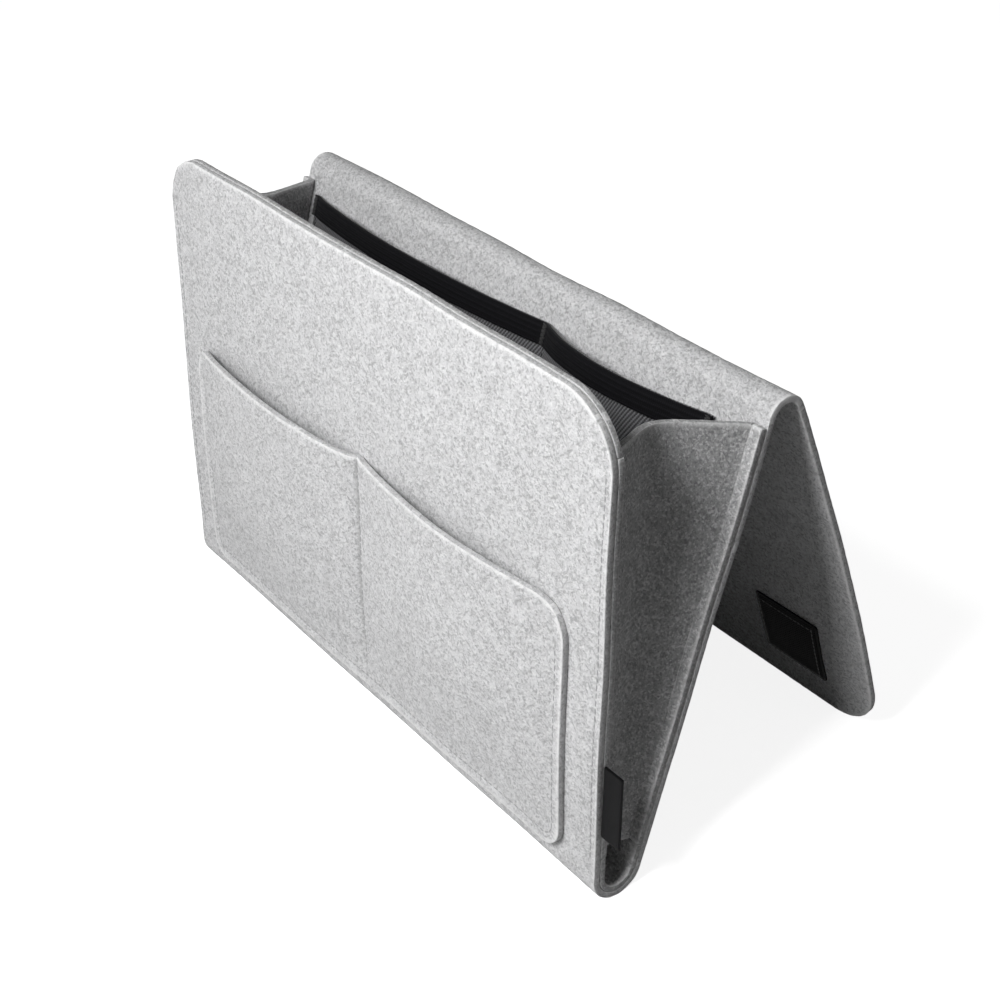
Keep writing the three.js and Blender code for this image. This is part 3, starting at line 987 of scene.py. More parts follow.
@dataclass(frozen=True)
class Seams:
    """Rows of single stitches, sewn along lines on a panel's plane."""

    width: float = 0.85 * MM
    height: float = 0.62 * MM
    length: float = 3.1 * MM
    pitch: float = 3.7 * MM
    sunk: float = 0.12 * MM
    sway: float = 0.08 * MM  # the most that a stitch lies beside the line
    twist: float = 0.06  # and the most that it is turned, in radians

    def stitch(self) -> bpy.types.Object:
        """One stitch along X, whose ends dip into the cloth."""
        bpy.ops.object.select_all(action="DESELECT")
        bpy.ops.mesh.primitive_uv_sphere_add(segments=8, ring_count=6, radius=0.5)
        stitch = bpy.context.object
        stitch.data.transform(Matrix.Rotation(math.pi / 2, 4, "Y"))
        stitch.data.transform(Matrix.Diagonal((self.length, self.width, self.height, 1)))
        return stitch

    def places(self, plane: Plane, line: Outline, height: float, out: int) -> list[Matrix]:
        """The frame of each stitch along a line.

        Args:
            plane: The panel's plane.
            line: The line's points on it.
            height: How high over the plane the cloth's surface is.
            out: Which way the cloth faces there, along the plane's Z.

        Returns:
            One matrix for each stitch.
        """
        points = [Vector((*point, 0)) for point in line]
        lengths = [(b - a).length for a, b in zip(points, points[1:])]
        total = sum(lengths)
        count = max(1, round(total / self.pitch))
        jitter = random.Random(round(total / MM))
        found = []
        for index in range(count):
            run = (index + 0.5) * total / count
            leg = 0
            while leg < len(lengths) - 1 and run > lengths[leg]:
                run -= lengths[leg]
                leg += 1
            way = (points[leg + 1] - points[leg]).normalized()
            spot = points[leg] + way * run
            spot.z = height - out * self.sunk
            wave = plane.wave(np.array([spot.x]), np.array([spot.y]))[0]
            side = Vector((0, 0, out)).cross(way)
            spot += side * jitter.uniform(-1, 1) * self.sway + Vector((0, 0, wave))
            turn = Matrix((way, side, Vector((0, 0, out)))).transposed().to_4x4()
            tilt = Matrix.Rotation(jitter.uniform(-1, 1) * self.twist, 4, "Z")
            found.append(plane.spot(spot) @ turn @ tilt)
        return found

    def row(self, name: str, plane: Plane, line: Outline, height: float, out: int) -> bpy.types.Object:
        """A row of stitches as one piece; the arguments are those of places."""
        return join_copies(name, self.stitch(), self.places(plane, line, height, out))


def cup_line(left: float, right: float, bottom: float, top: float, radius: float) -> Outline:
    """Draws a line down one side, round the two lower corners and up the other side.

    Args:
        left: Where it goes down.
        right: Where it goes up.
        bottom: Its lowest level.
        top: The level of its two ends.
        radius: Of the corners.

    Returns:
        Its points.
    """
    line = [(left, top)]
    for x, start in ((left + radius, math.pi), (right - radius, 1.5 * math.pi)):
        for step in range(CORNER_STEPS + 1):
            angle = start + step / CORNER_STEPS * math.pi / 2
            line.append((x + radius * math.cos(angle), bottom + radius + radius * math.sin(angle)))
    line.append((right, top))
    return line


@dataclass
class LongSheet(Workshop):
    """The long felt sheet: front, bottom fold, back, ridge and flap."""

    flap_corner: float = 28 * MM
    bend_steps: int = 44
    seam_fade: float = 3 * MM  # the groove of a row of stitches runs out over this length
    ridge_start: float = 4.5 * MM  # the turn at the ridge is shared out from here
    ridge_end: float = 6 * MM  # to here, on the other side

    def panel(
        self,
        name: str,
        plane: Plane,
        rows: tuple[float, float],
        corner: tuple[float, float] | None,
        seam_rows: tuple[float, float] | None,
        joins: Sequence[Join],
    ) -> bpy.types.Object:
        """One flat part of the sheet.

        Args:
            name: The piece's name.
            plane: The plane that it lies in.
            rows: Its lowest and highest level.
            corner: The height of the middle of its round corners and their radius, None where it has none.
            seam_rows: The lowest and highest stitch down its sides, None where it has none.
            joins: Where it runs on into a bend.

        Returns:
            The piece.
        """
        seams = (-CLOTH.seam, CLOTH.seam) if seam_rows else ()
        across = stops(-CLOTH.half, CLOTH.half, CLOTH.step, seams)

        def place(x: np.ndarray, y: np.ndarray) -> Points:
            """The panel's middle surface."""
            if corner:
                way = 1 if corner[0] > 0 else -1
                for side in (-1, 1):
                    x, y = round_corner(x, y, (side * (CLOTH.half - corner[1]), corner[0]), (side, way)).T
            out = plane.middle + plane.wave(x, y)
            if seam_rows:
                near = np.clip(1 - np.maximum(seam_rows[0] - y, y - seam_rows[1]) / self.seam_fade, 0, 1)
                facing = math.copysign(1, plane.middle)
                out -= facing * 0.5 * near * groove(np.abs(x) - CLOTH.seam)
            return plane.world(np.column_stack([x, y, out]))

        return self.felt_sheet(name, across, stops(*rows, CLOTH.step), place, joins=joins)

    def bend(
        self,
        name: str,
        centre: Vector,
        radius: float,
        angles: tuple[float, float],
        sense: int,
        joins: Sequence[Join],
    ) -> bpy.types.Object:
        """One bend of the sheet.

        Args:
            name: The piece's name.
            centre: A point of its axis.
            radius: Of its middle surface.
            angles: Where the bend starts and ends, from +Y towards +Z.
            sense: Which way the sheet's waves stand out, along the radius.
            joins: Where it runs on into the panels.

        Returns:
            The piece.
        """

        def place(x: np.ndarray, angle: np.ndarray) -> Points:
            """The bend's middle surface."""
            way = np.column_stack([np.zeros(len(x)), np.cos(angle), np.sin(angle)])
            middle = np.array(centre) + way * radius
            middle[:, 0] += x
            return middle + way * (sense * wave_height(middle))[:, None]

        across = stops(-CLOTH.half, CLOTH.half, CLOTH.step)
        along = np.linspace(*angles, self.bend_steps + 1)
        return self.felt_sheet(name, across, along, place, joins=joins)

    def make(self) -> None:
        """Builds the five parts of the sheet and says what each rides on."""
        front, back, flap = self.frame.front, self.frame.back, self.frame.flap
        low_joins = [front.join(0), back.join(0)]
        ridge_joins = [back.join(CLOTH.back_height), flap.join(0)]
        back_joins = [low_joins[1], ridge_joins[0]]
        top_corner = (CLOTH.front_height - CLOTH.corner, CLOTH.corner)
        flap_corner = (self.flap_corner - CLOTH.flap_length, self.flap_corner)
        front_seams = (CLOTH.gusset_bottom, top_corner[0])
        back_seams = (CLOTH.gusset_bottom, CLOTH.gusset_top)
        levels = (0, CLOTH.front_height)
        front_piece = self.panel("front_felt", front, levels, top_corner, front_seams, low_joins[:1])
        levels = (0, CLOTH.back_height)
        back_piece = self.panel("back_felt", back, levels, None, back_seams, back_joins)
        levels = (-CLOTH.flap_length, 0)
        flap_piece = self.panel("flap_felt", flap, levels, flap_corner, None, ridge_joins[1:])
        fold = self.bend("fold_felt", front.origin, CLOTH.fold_middle, CLOTH.fold_angles, 1, low_joins)
        ridge_angles = (CLOTH.flap_lean, math.pi - CLOTH.back_lean)
        ridge = self.bend("ridge_felt", flap.origin, CLOTH.ridge_middle, ridge_angles, -1, ridge_joins)

        self.dress(front_piece, Slot.FELT, "front_panel", Body.FRONT, low_joins[:1])
        self.dress(back_piece, Slot.FELT, "back_panel", Body.BACK, back_joins)
        self.dress(flap_piece, Slot.FELT, "flap_panel", Body.FLAP, ridge_joins[1:])
        self.dress(fold, Slot.FELT, "bottom_fold", joins=low_joins)
        self.dress(ridge, Slot.FELT, "ridge_fold", joins=ridge_joins)
        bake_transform(fold, Body.BACK.value, Body.FRONT.value, *self.frame.fold_span)
        start, end = flap.origin + self.ridge_start * flap.out, flap.origin - self.ridge_end * flap.out
        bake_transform(ridge, Body.BACK.value, Body.FLAP.value, start, end)


@dataclass
class Lining(Workshop):
    """The second felt layer inside the front and round the fold."""

    thickness: float = 2.7 * MM
    middle: float = 8.35 * MM
    half: float = 159 * MM
    notch_bottom: float = 11.7 * MM
    notch_top: float = 204.56 * MM  # on the grid; the round corner draws it down to 202.3 mm
    turn_steps: int = 32

    @staticmethod
    def through(*marks: float) -> np.ndarray:
        """The lines of a grid that has one at each of these marks."""
        return np.unique(np.concatenate([stops(a, b, CLOTH.step) for a, b in zip(marks, marks[1:])]))

    def make_front(self) -> None:
        """Builds the front lining, notched at its sides for the gussets."""
        front = self.frame.front
        corner_y = CLOTH.front_height - CLOTH.corner
        low = front.join(0)

        def on_front(x: np.ndarray, y: np.ndarray) -> Points:
            """The front lining's middle surface."""
            for side in (-1, 1):
                x, y = round_corner(x, y, (side * (CLOTH.half - CLOTH.corner), corner_y), (side, 1)).T
            return front.world(np.column_stack([x, y, self.middle + front.wave(x, y)]))

        def notch(x: float, y: float) -> bool:
            """Where the gussets take the lining's place."""
            return abs(x) > self.half and self.notch_bottom < y < self.notch_top

        across = self.through(-CLOTH.half, -self.half, self.half, CLOTH.half)
        along = self.through(0, self.notch_bottom, self.notch_top, CLOTH.front_height)
        lining = self.felt_sheet("front_lining_felt", across, along, on_front, self.thickness, [low], notch)
        self.dress(lining, Slot.LINING, "front_lining", Body.FRONT, [low])

    def make_fold(self) -> None:
        """Builds the lining round the fold and up the back as far as the gussets."""
        front, back = self.frame.front, self.frame.back
        low = front.join(0)
        start, end = CLOTH.fold_angles
        turn = (end - start) * self.middle

        def round_fold(x: np.ndarray, run: np.ndarray) -> Points:
            """The bottom lining's middle surface, by the distance run from the front."""
            angle = start + np.minimum(run, turn) / self.middle
            way = np.column_stack([np.zeros(len(x)), np.cos(angle), np.sin(angle)])
            up = np.maximum(run - turn, 0)[:, None] * np.array(back.up)
            foot = np.array(front.origin) + up
            foot[:, 0] += x
            wave = wave_height(foot + way * CLOTH.fold_middle)
            return foot + way * (self.middle + wave)[:, None]

        across = stops(-CLOTH.half, CLOTH.half, CLOTH.step)
        rise = stops(turn, turn + self.notch_bottom, CLOTH.step)
        along = np.concatenate([np.linspace(0, turn, self.turn_steps + 1)[:-1], rise])
        fold = self.felt_sheet("bottom_lining_felt", across, along, round_fold, self.thickness, [low])
        self.dress(fold, Slot.LINING, "bottom_lining", joins=[low])
        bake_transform(fold, Body.BACK.value, Body.FRONT.value, *self.frame.fold_span)

    def make(self) -> None:
        """Builds the two linings."""
        self.make_front()
        self.make_fold()


@dataclass
class Gussets(Workshop):
    """The folded felt side of the pouch, one at each end."""

    inset: float = 6.5 * MM  # from the panel's edge to the middle of the web
    middle: float = 8.2 * MM
    inside: float = 6.7 * MM  # the pouch's side of the flanges
    depth: float = 15.5 * MM
    rows: int = 84
    flange_hold: float = 0.3  # how far out on a flange, as a share of it, a point holds its bend tight
    slack: float = 1.2 * MM  # how much the web wanders along the fold
    slack_rows: float = 7  # over about this many rows
    slack_noise: float = 0.3  # and which part of the noise it follows
    blend_reach: float = 10 * MM
    fold_line: tuple = (  # how far along from front to back, and how far in, as shares
        (0.16, 0.38),
        (0.32, 0.78),
        (0.41, 0.96),
        (0.48, 1.0),
        (0.56, 0.95),
        (0.7, 0.66),
        (0.85, 0.32),
    )

    def edge(self, y: float) -> float:
        """Half the front's width at a height, less where its top corners are round."""
        rise = min(max(y - (CLOTH.front_height - CLOTH.corner), 0), CLOTH.corner)
        return CLOTH.half - CLOTH.corner + math.sqrt(CLOTH.corner**2 - rise**2)

    def row(self, y: float) -> Points:
        """Finds what one row of the right gusset is drawn through.

        Args:
            y: The row's height up both panels.

        Returns:
            The points from the front to the back.
        """
        front, back = self.frame.front, self.frame.back
        root = CLOTH.half - self.inset
        start = front.matrix @ Vector((root, y, self.middle))
        finish = back.matrix @ Vector((root, y, -self.middle))
        sink = self.depth * y / CLOTH.gusset_top
        web = [start.lerp(finish, along) - Vector((sink * share, 0, 0)) for along, share in self.fold_line]
        first = front.matrix @ Vector((self.edge(y), y, self.middle))
        last = back.matrix @ Vector((CLOTH.half, y, -self.middle))
        near, far = start.lerp(first, self.flange_hold), finish.lerp(last, self.flange_hold)
        return np.array([first, near, start, *web, finish, far, last])

    @staticmethod
    def rounded(rows: Points) -> Points:
        """Cuts the corners of each row three times, which leaves a smooth curve.

        Args:
            rows: Rows of points.

        Returns:
            The rows with more points and the same ends.
        """
        for _ in range(3):
            before, after = rows[:, :-1], rows[:, 1:]
            cut = np.stack([before * 0.75 + after * 0.25, before * 0.25 + after * 0.75], axis=2)
            inner = cut.reshape(len(rows), -1, 3)[:, 1:-1]
            rows = np.concatenate([rows[:, :1], inner, rows[:, -1:]], axis=1)
        return rows

    def shares_of(self, piece: bpy.types.Object) -> np.ndarray:
        """Shares a gusset out between its two panels, by the place between its flanges.

        Args:
            piece: The gusset.

        Returns:
            How far each vertex follows the front rather than the back.
        """
        points = points_of(piece)
        distances = []
        for plane, sign in ((self.frame.front, 1), (self.frame.back, -1)):
            from_axis = (points - np.array(plane.origin)) @ np.array(plane.out)
            distances.append(np.maximum(self.inside - sign * from_axis, 0))
        to_front, to_back = distances
        return to_back / np.maximum(to_front + to_back, TINY)

    def make_side(self, side: Side) -> None:
        """Builds the gusset at one end.

        Args:
            side: Which end.
        """
        heights = np.linspace(CLOTH.gusset_bottom, CLOTH.gusset_top, self.rows + 1)
        rows = self.rounded(np.array([self.row(y) for y in heights]))
        columns = rows.shape[1]
        front, back = self.frame.front, self.frame.back
        shift = front.origin.x
        rows[:, :, 0] = shift + side.value * (rows[:, :, 0] - shift)
        edge = np.full(len(heights), side.value * CLOTH.half)
        share = np.linspace(0, 1, columns)[None, :, None]
        on_front = front.wave(edge, heights)[:, None, None] * np.array(front.out)
        on_back = back.wave(edge, heights)[:, None, None] * np.array(back.out)
        rows += on_front * (1 - share) + on_back * share
        grain = [Vector((self.slack_noise, row / self.slack_rows, side.value)) for row in range(len(rows))]
        slow = np.array([noise.noise(spot) for spot in grain])
        rows[:, :, 0] += slow[:, None] * self.slack * np.sin(math.pi * share[:, :, 0]) ** 2

        def place(u: np.ndarray, v: np.ndarray) -> Points:
            """The gusset's middle surface, by its column and row."""
            return rows[np.rint(v).astype(int), np.rint(u).astype(int)]

        across, along = np.arange(columns, dtype=float), np.arange(len(heights), dtype=float)
        gusset = self.felt_sheet(f"{side.label}_gusset_felt", across, along, place)
        self.dress(gusset, Slot.LINING, f"{side.label}_gusset")
        reach = Vector((0, self.blend_reach, 0))
        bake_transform(gusset, Body.BACK.value, Body.FRONT.value, front.origin + reach, front.origin - reach)
        weights = gusset.data.attributes["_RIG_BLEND"].data
        weights.foreach_set("value", self.shares_of(gusset).astype(np.float32))

    def make(self) -> None:
        """Builds both gussets."""
        for side in Side:
            self.make_side(side)


@dataclass(frozen=True)
class Compartment:
    """One compartment of a sewn pocket, which swells between its seams."""

    left: float
    right: float
    bulge: float
    power: float = 0.8  # of the sine that it follows across: the smaller, the fuller

    def swell(self, x: np.ndarray) -> np.ndarray:
        """How far it stands off at its widest height."""
        share = np.clip((x - self.left) / (self.right - self.left), 0, 1)
        return self.bulge * np.sin(math.pi * share) ** self.power


@dataclass(frozen=True)
class Swell:
    """How a sewn pocket stands off its panel."""

    bottom: float
    rise: float  # from the bottom to the widest height
    compartments: tuple[Compartment, ...]

    def off(self, x: np.ndarray, y: np.ndarray) -> np.ndarray:
        """How far the pocket stands off at each place."""
        height = np.sin(math.pi / 2 * np.clip((y - self.bottom) / self.rise, 0, 1))
        return sum(compartment.swell(x) for compartment in self.compartments) * height


@dataclass
class FrontPocket(Workshop):
    """The felt pocket on the front, with its stitches, the seams beside it and the woven tab."""

    half: float = 149.3 * MM
    bottom: float = 3.5 * MM
    top: float = 128.5 * MM
    corner: float = 12 * MM
    top_corner: float = 18 * MM
    middle: float = 14.8 * MM
    step: float = 2.2 * MM
    seam_inset: float = 5 * MM
    seam_sunk: float = 0.35 * MM
    seam_groove: float = 0.4 * MM
    divider_gap: tuple = (2 * MM, 1 * MM)  # from the divider's stitches to the lower row and to the mouth
    slack: float = 8 * MM  # how much wider than its place the felt is cut, for the two swells
    swell: Swell = Swell(
        11.5 * MM,
        70 * MM,
        (Compartment(-141.3 * MM, -1.5 * MM, 8.5 * MM, 0.45), Compartment(1.5 * MM, 141.3 * MM, 7 * MM)),
    )
    tab_rows: tuple = (25 * MM, 61.6 * MM)
    tab_columns: tuple = (170.3 * MM, 181.4 * MM)
    tab_middle: float = 9.85 * MM
    tab_turn: float = 0.34 * MM
    tab_thickness: float = 0.5 * MM
    tab_step: float = 1.4 * MM
    tab_lines: int = 9  # of the grid on either half of the tab
    tab_turn_lines: tuple = (0.2, 0.4, 0.6, 0.8)  # and round its turn, as shares of it
    tab_arris: float = 0.12 * MM

    def make_pocket(self) -> None:
        """Builds the pocket."""
        plane = self.frame.front
        seam = self.half - self.seam_inset
        seam_bottom = self.bottom + self.seam_inset
        seam_corner = self.corner - self.seam_inset

        def from_seam(x: np.ndarray, y: np.ndarray) -> np.ndarray:
            """How far a place is from the nearest row of stitches."""
            u, v = np.abs(x) - (seam - seam_corner), (seam_bottom + seam_corner) - y
            round_part = np.abs(np.hypot(np.maximum(u, 0), np.maximum(v, 0)) - seam_corner)
            cup = np.where((u > 0) | (v > 0), round_part, np.minimum(-u, -v) + seam_corner)
            above = np.maximum(y - (self.top - self.top_corner), 0)
            divider = np.where(y > seam_bottom, np.abs(x), np.hypot(x, y - seam_bottom))
            return np.minimum(np.hypot(cup, above), divider)

        def place(x: np.ndarray, y: np.ndarray) -> Points:
            """The pocket's middle surface."""
            low, high = self.bottom + self.corner, self.top - self.top_corner
            for side in (-1, 1):
                for radius, end, way in ((self.corner, low, -1), (self.top_corner, high, 1)):
                    x, y = round_corner(x, y, (side * (self.half - radius), end), (side, way)).T
            out = self.middle + plane.wave(x, y) + self.swell.off(x, y)
            out -= groove(from_seam(x, y), self.seam_groove)
            return plane.world(np.column_stack([x, y, out]))

        across = stops(-self.half, self.half, self.step, (-seam, 0, seam))
        along = stops(self.bottom, self.top, self.step, (seam_bottom,))
        pocket = self.felt_sheet("front_pocket_felt", across, along, place)
        self.dress(pocket, Slot.FELT, "front_pocket", Body.FRONT)

    def make_stitches(self) -> None:
        """Sews the pocket on, and the front to its gussets."""
        plane, seams = self.frame.front, Seams()
        height = self.middle + CLOTH.thickness / 2 - self.seam_sunk
        seam = self.half - self.seam_inset
        bottom = self.bottom + self.seam_inset
        cup = cup_line(-seam, seam, bottom, self.top - self.top_corner, self.corner - self.seam_inset)
        row = seams.row("pocket_stitches", plane, cup, height, 1)
        self.dress(row, Slot.GREY_THREAD, "pocket_stitching", Body.FRONT)
        line = [(0, bottom + self.divider_gap[0]), (0, self.top - self.divider_gap[1])]
        row = seams.row("divider_stitches", plane, line, height, 1)
        self.dress(row, Slot.GREY_THREAD, "divider_stitching", Body.FRONT)
        for side in Side:
            x = side.value * CLOTH.seam
            line = [(x, CLOTH.gusset_bottom), (x, CLOTH.front_height - CLOTH.corner)]
            row = seams.row(f"front_{side.label}_seam_stitches", plane, line, CLOTH.seam_height, 1)
            self.dress(row, Slot.GREY_THREAD, f"front_seam_{side.label}", Body.FRONT)

    def make_tab(self) -> None:
        """Builds the woven tab, a folded tape."""
        plane, radius = self.frame.front, self.tab_turn
        start, end = self.tab_columns
        straight = end - radius - start
        back = straight + radius * math.pi
        turn = straight + radius * math.pi * np.array(self.tab_turn_lines)
        half = np.linspace(0, straight, self.tab_lines)
        run = np.concatenate([half, turn, back + half])

        def place(s: np.ndarray, y: np.ndarray) -> Points:
            """The tape's middle surface, by the distance run along it."""
            angle = np.clip((s - straight) / radius, 0, math.pi)
            x = start + np.minimum(s, straight) - np.maximum(s - back, 0) + radius * np.sin(angle)
            out = self.tab_middle + radius * np.cos(angle)
            return plane.world(np.column_stack([x, y, out]))

        tab = add_sheet("side_tab_tape", run, stops(*self.tab_rows, self.tab_step), place)
        apply_modifier(tab, "SOLIDIFY", thickness=self.tab_thickness, offset=0.0)
        soften(tab, self.tab_arris)
        self.dress(tab, Slot.TAB, "side_tab", Body.FRONT)

    def make(self) -> None:
        """Builds what is sewn on the front."""
        self.make_pocket()
        self.make_stitches()
        self.make_tab()


@dataclass
class MeshPocket(Workshop):
    """The mesh pocket inside the back, with its elastic edge, its stitches and the back's seams."""

    left: float = -157 * MM
    right: float = 143 * MM
    divider: float = 35 * MM
    bottom: float = 62 * MM
    top: float = 196 * MM
    margin: float = 4 * MM
    column: float = 2 * MM  # between the lines of the grids that run up the pocket
    mesh_middle: float = -9.3 * MM
    mesh_thickness: float = 0.45 * MM
    seam_rise: float = 0.35 * MM  # from the mesh's middle out to its stitches, before they sink in
    fold_width: float = 11 * MM  # of the mesh's slack folds
    fold_length: float = 70 * MM
    fold_height: float = 1.1 * MM
    fold_noise: float = 2.7  # which part of the noise they follow
    full_folds: float = 9 * MM  # how far off the back the mesh is where they reach that height
    slack: float = 22 * MM  # how much wider than its place the mesh is cut
    band_height: float = 10.5 * MM
    band_middle: float = -7.9 * MM
    band_thickness: float = 1.1 * MM
    band_lines: int = 19  # of the grid along it
    band_arris: float = 0.25 * MM
    rib: float = 2.6 * MM
    rib_height: float = 0.22 * MM
    ripple: float = 12 * MM
    ripple_height: float = 0.25 * MM
    ripple_noise: tuple = (5.1, 0.4)  # which part of the noise the ripples follow
    flat_level: float = -10 * MM  # off the back's plane, the level that the pocket is squashed towards
    kept_depth: float = 0.3  # and the share of its distance from there that it keeps in a closed pouch
    swell: Swell = Swell(
        66 * MM,
        125 * MM,
        (Compartment(-153 * MM, 33 * MM, 11 * MM), Compartment(37 * MM, 139 * MM, 12 * MM)),
    )
    mesh_seams: Seams = Seams(width=0.6 * MM, height=0.5 * MM, length=2.4 * MM, pitch=2.9 * MM)
    tack: Seams = Seams(width=0.9 * MM, height=0.7 * MM, length=3.2 * MM)
    tack_rows: int = 11
    tack_pitch: float = 0.9 * MM
    tack_start: float = 0.8 * MM
    tack_slope: float = 0.14 * MM
    tack_rise: float = 0.75 * MM  # from the elastic's middle out to them, before they sink in

    @property
    def band_bottom(self) -> float:
        """The elastic's lower edge."""
        return self.top - self.band_height

    def soft(self, piece: bpy.types.Object) -> None:
        """Gives a piece its own copy of its mesh.

        Args:
            piece: The mesh or its elastic.
        """
        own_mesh(piece)

    def make_mesh(self) -> None:
        """Builds the mesh, with slack folds that run up to the elastic."""
        plane = self.frame.back

        def place(x: np.ndarray, y: np.ndarray) -> Points:
            """The mesh's middle surface."""
            off = self.swell.off(x, y)
            grain = zip(x / self.fold_width, y / self.fold_length)
            slack = np.array([noise.noise(Vector((*spot, self.fold_noise))) for spot in grain])
            folds = slack * np.minimum(off / self.full_folds, 1) * self.fold_height
            return plane.world(np.column_stack([x, y, self.mesh_middle + plane.wave(x, y) + off + folds]))

        along = stops(self.bottom, self.top, CLOTH.step)
        mesh = add_sheet("mesh_net", stops(self.left, self.right, self.column), along, place)
        apply_modifier(mesh, "SOLIDIFY", thickness=self.mesh_thickness, offset=0.0)
        self.dress(mesh, Slot.MESH, "mesh_pocket", Body.BACK)
        self.soft(mesh)

    def make_band(self) -> None:
        """Builds the elastic, with its lengthwise ribs."""
        plane = self.frame.back

        def place(x: np.ndarray, y: np.ndarray) -> Points:
            """The elastic's middle surface."""
            rib = self.rib_height * np.cos((y - self.band_bottom) / self.rib * TURN)
            ripple = np.array([noise.noise(Vector((a / self.ripple, *self.ripple_noise))) for a in x])
            out = self.band_middle + plane.wave(x, y) + self.swell.off(x, y) + rib
            return plane.world(np.column_stack([x, y, out + ripple * self.ripple_height]))

        along = np.linspace(self.band_bottom, self.top, self.band_lines)
        band = add_sheet("elastic_band", stops(self.left, self.right, self.column), along, place)
        apply_modifier(band, "SOLIDIFY", thickness=self.band_thickness, offset=0.0)
        soften(band, self.band_arris)
        self.dress(band, Slot.ELASTIC, "pocket_elastic", Body.BACK)
        self.soft(band)

    def make_stitches(self) -> None:
        """Sews the mesh on, and the back to its gussets."""
        plane, inset = self.frame.back, self.margin / 2
        height = self.mesh_middle + self.seam_rise
        left, right = self.left + inset, self.right - inset
        cup = cup_line(left, right, self.bottom + inset, self.band_bottom, inset)
        row = self.mesh_seams.row("mesh_edge_stitches", plane, cup, height, 1)
        self.dress(row, Slot.BLACK_THREAD, "mesh_edge_stitching", Body.BACK)
        line = [(self.divider, self.bottom + self.margin), (self.divider, self.band_bottom)]
        row = self.mesh_seams.row("mesh_divider_stitches", plane, line, height, 1)
        self.dress(row, Slot.BLACK_THREAD, "mesh_divider_stitching", Body.BACK)
        for name, x in (("left", left), ("centre", self.divider), ("right", right)):
            self.make_tack(name, x)
        for side in Side:
            x = side.value * CLOTH.seam
            line = [(x, CLOTH.gusset_bottom), (x, CLOTH.gusset_top)]
            row = Seams().row(f"back_{side.label}_seam_stitches", plane, line, -CLOTH.seam_height, -1)
            self.dress(row, Slot.GREY_THREAD, f"back_seam_{side.label}", Body.BACK)

    def make_tack(self, name: str, x: float) -> None:
        """Builds a bar tack on the elastic: stitches laid across it, close above each other.

        Args:
            name: Which one.
            x: Its middle.
        """
        frames = []
        for step in range(self.tack_rows):
            y = self.band_bottom + self.tack_start + step * self.tack_pitch
            slope = self.tack_slope * (1 if step % 2 else -1)
            line = [(x - self.tack.length / 2, y - slope), (x + self.tack.length / 2, y + slope)]
            frames += self.tack.places(self.frame.back, line, self.band_middle + self.tack_rise, 1)
        bar = join_copies(f"{name}_tack_thread", self.tack.stitch(), frames)
        self.dress(bar, Slot.BLACK_THREAD, f"{name}_bar_tack", Body.BACK)

    def make(self) -> None:
        """Builds what is sewn on the back."""
        self.make_mesh()
        self.make_band()
        self.make_stitches()


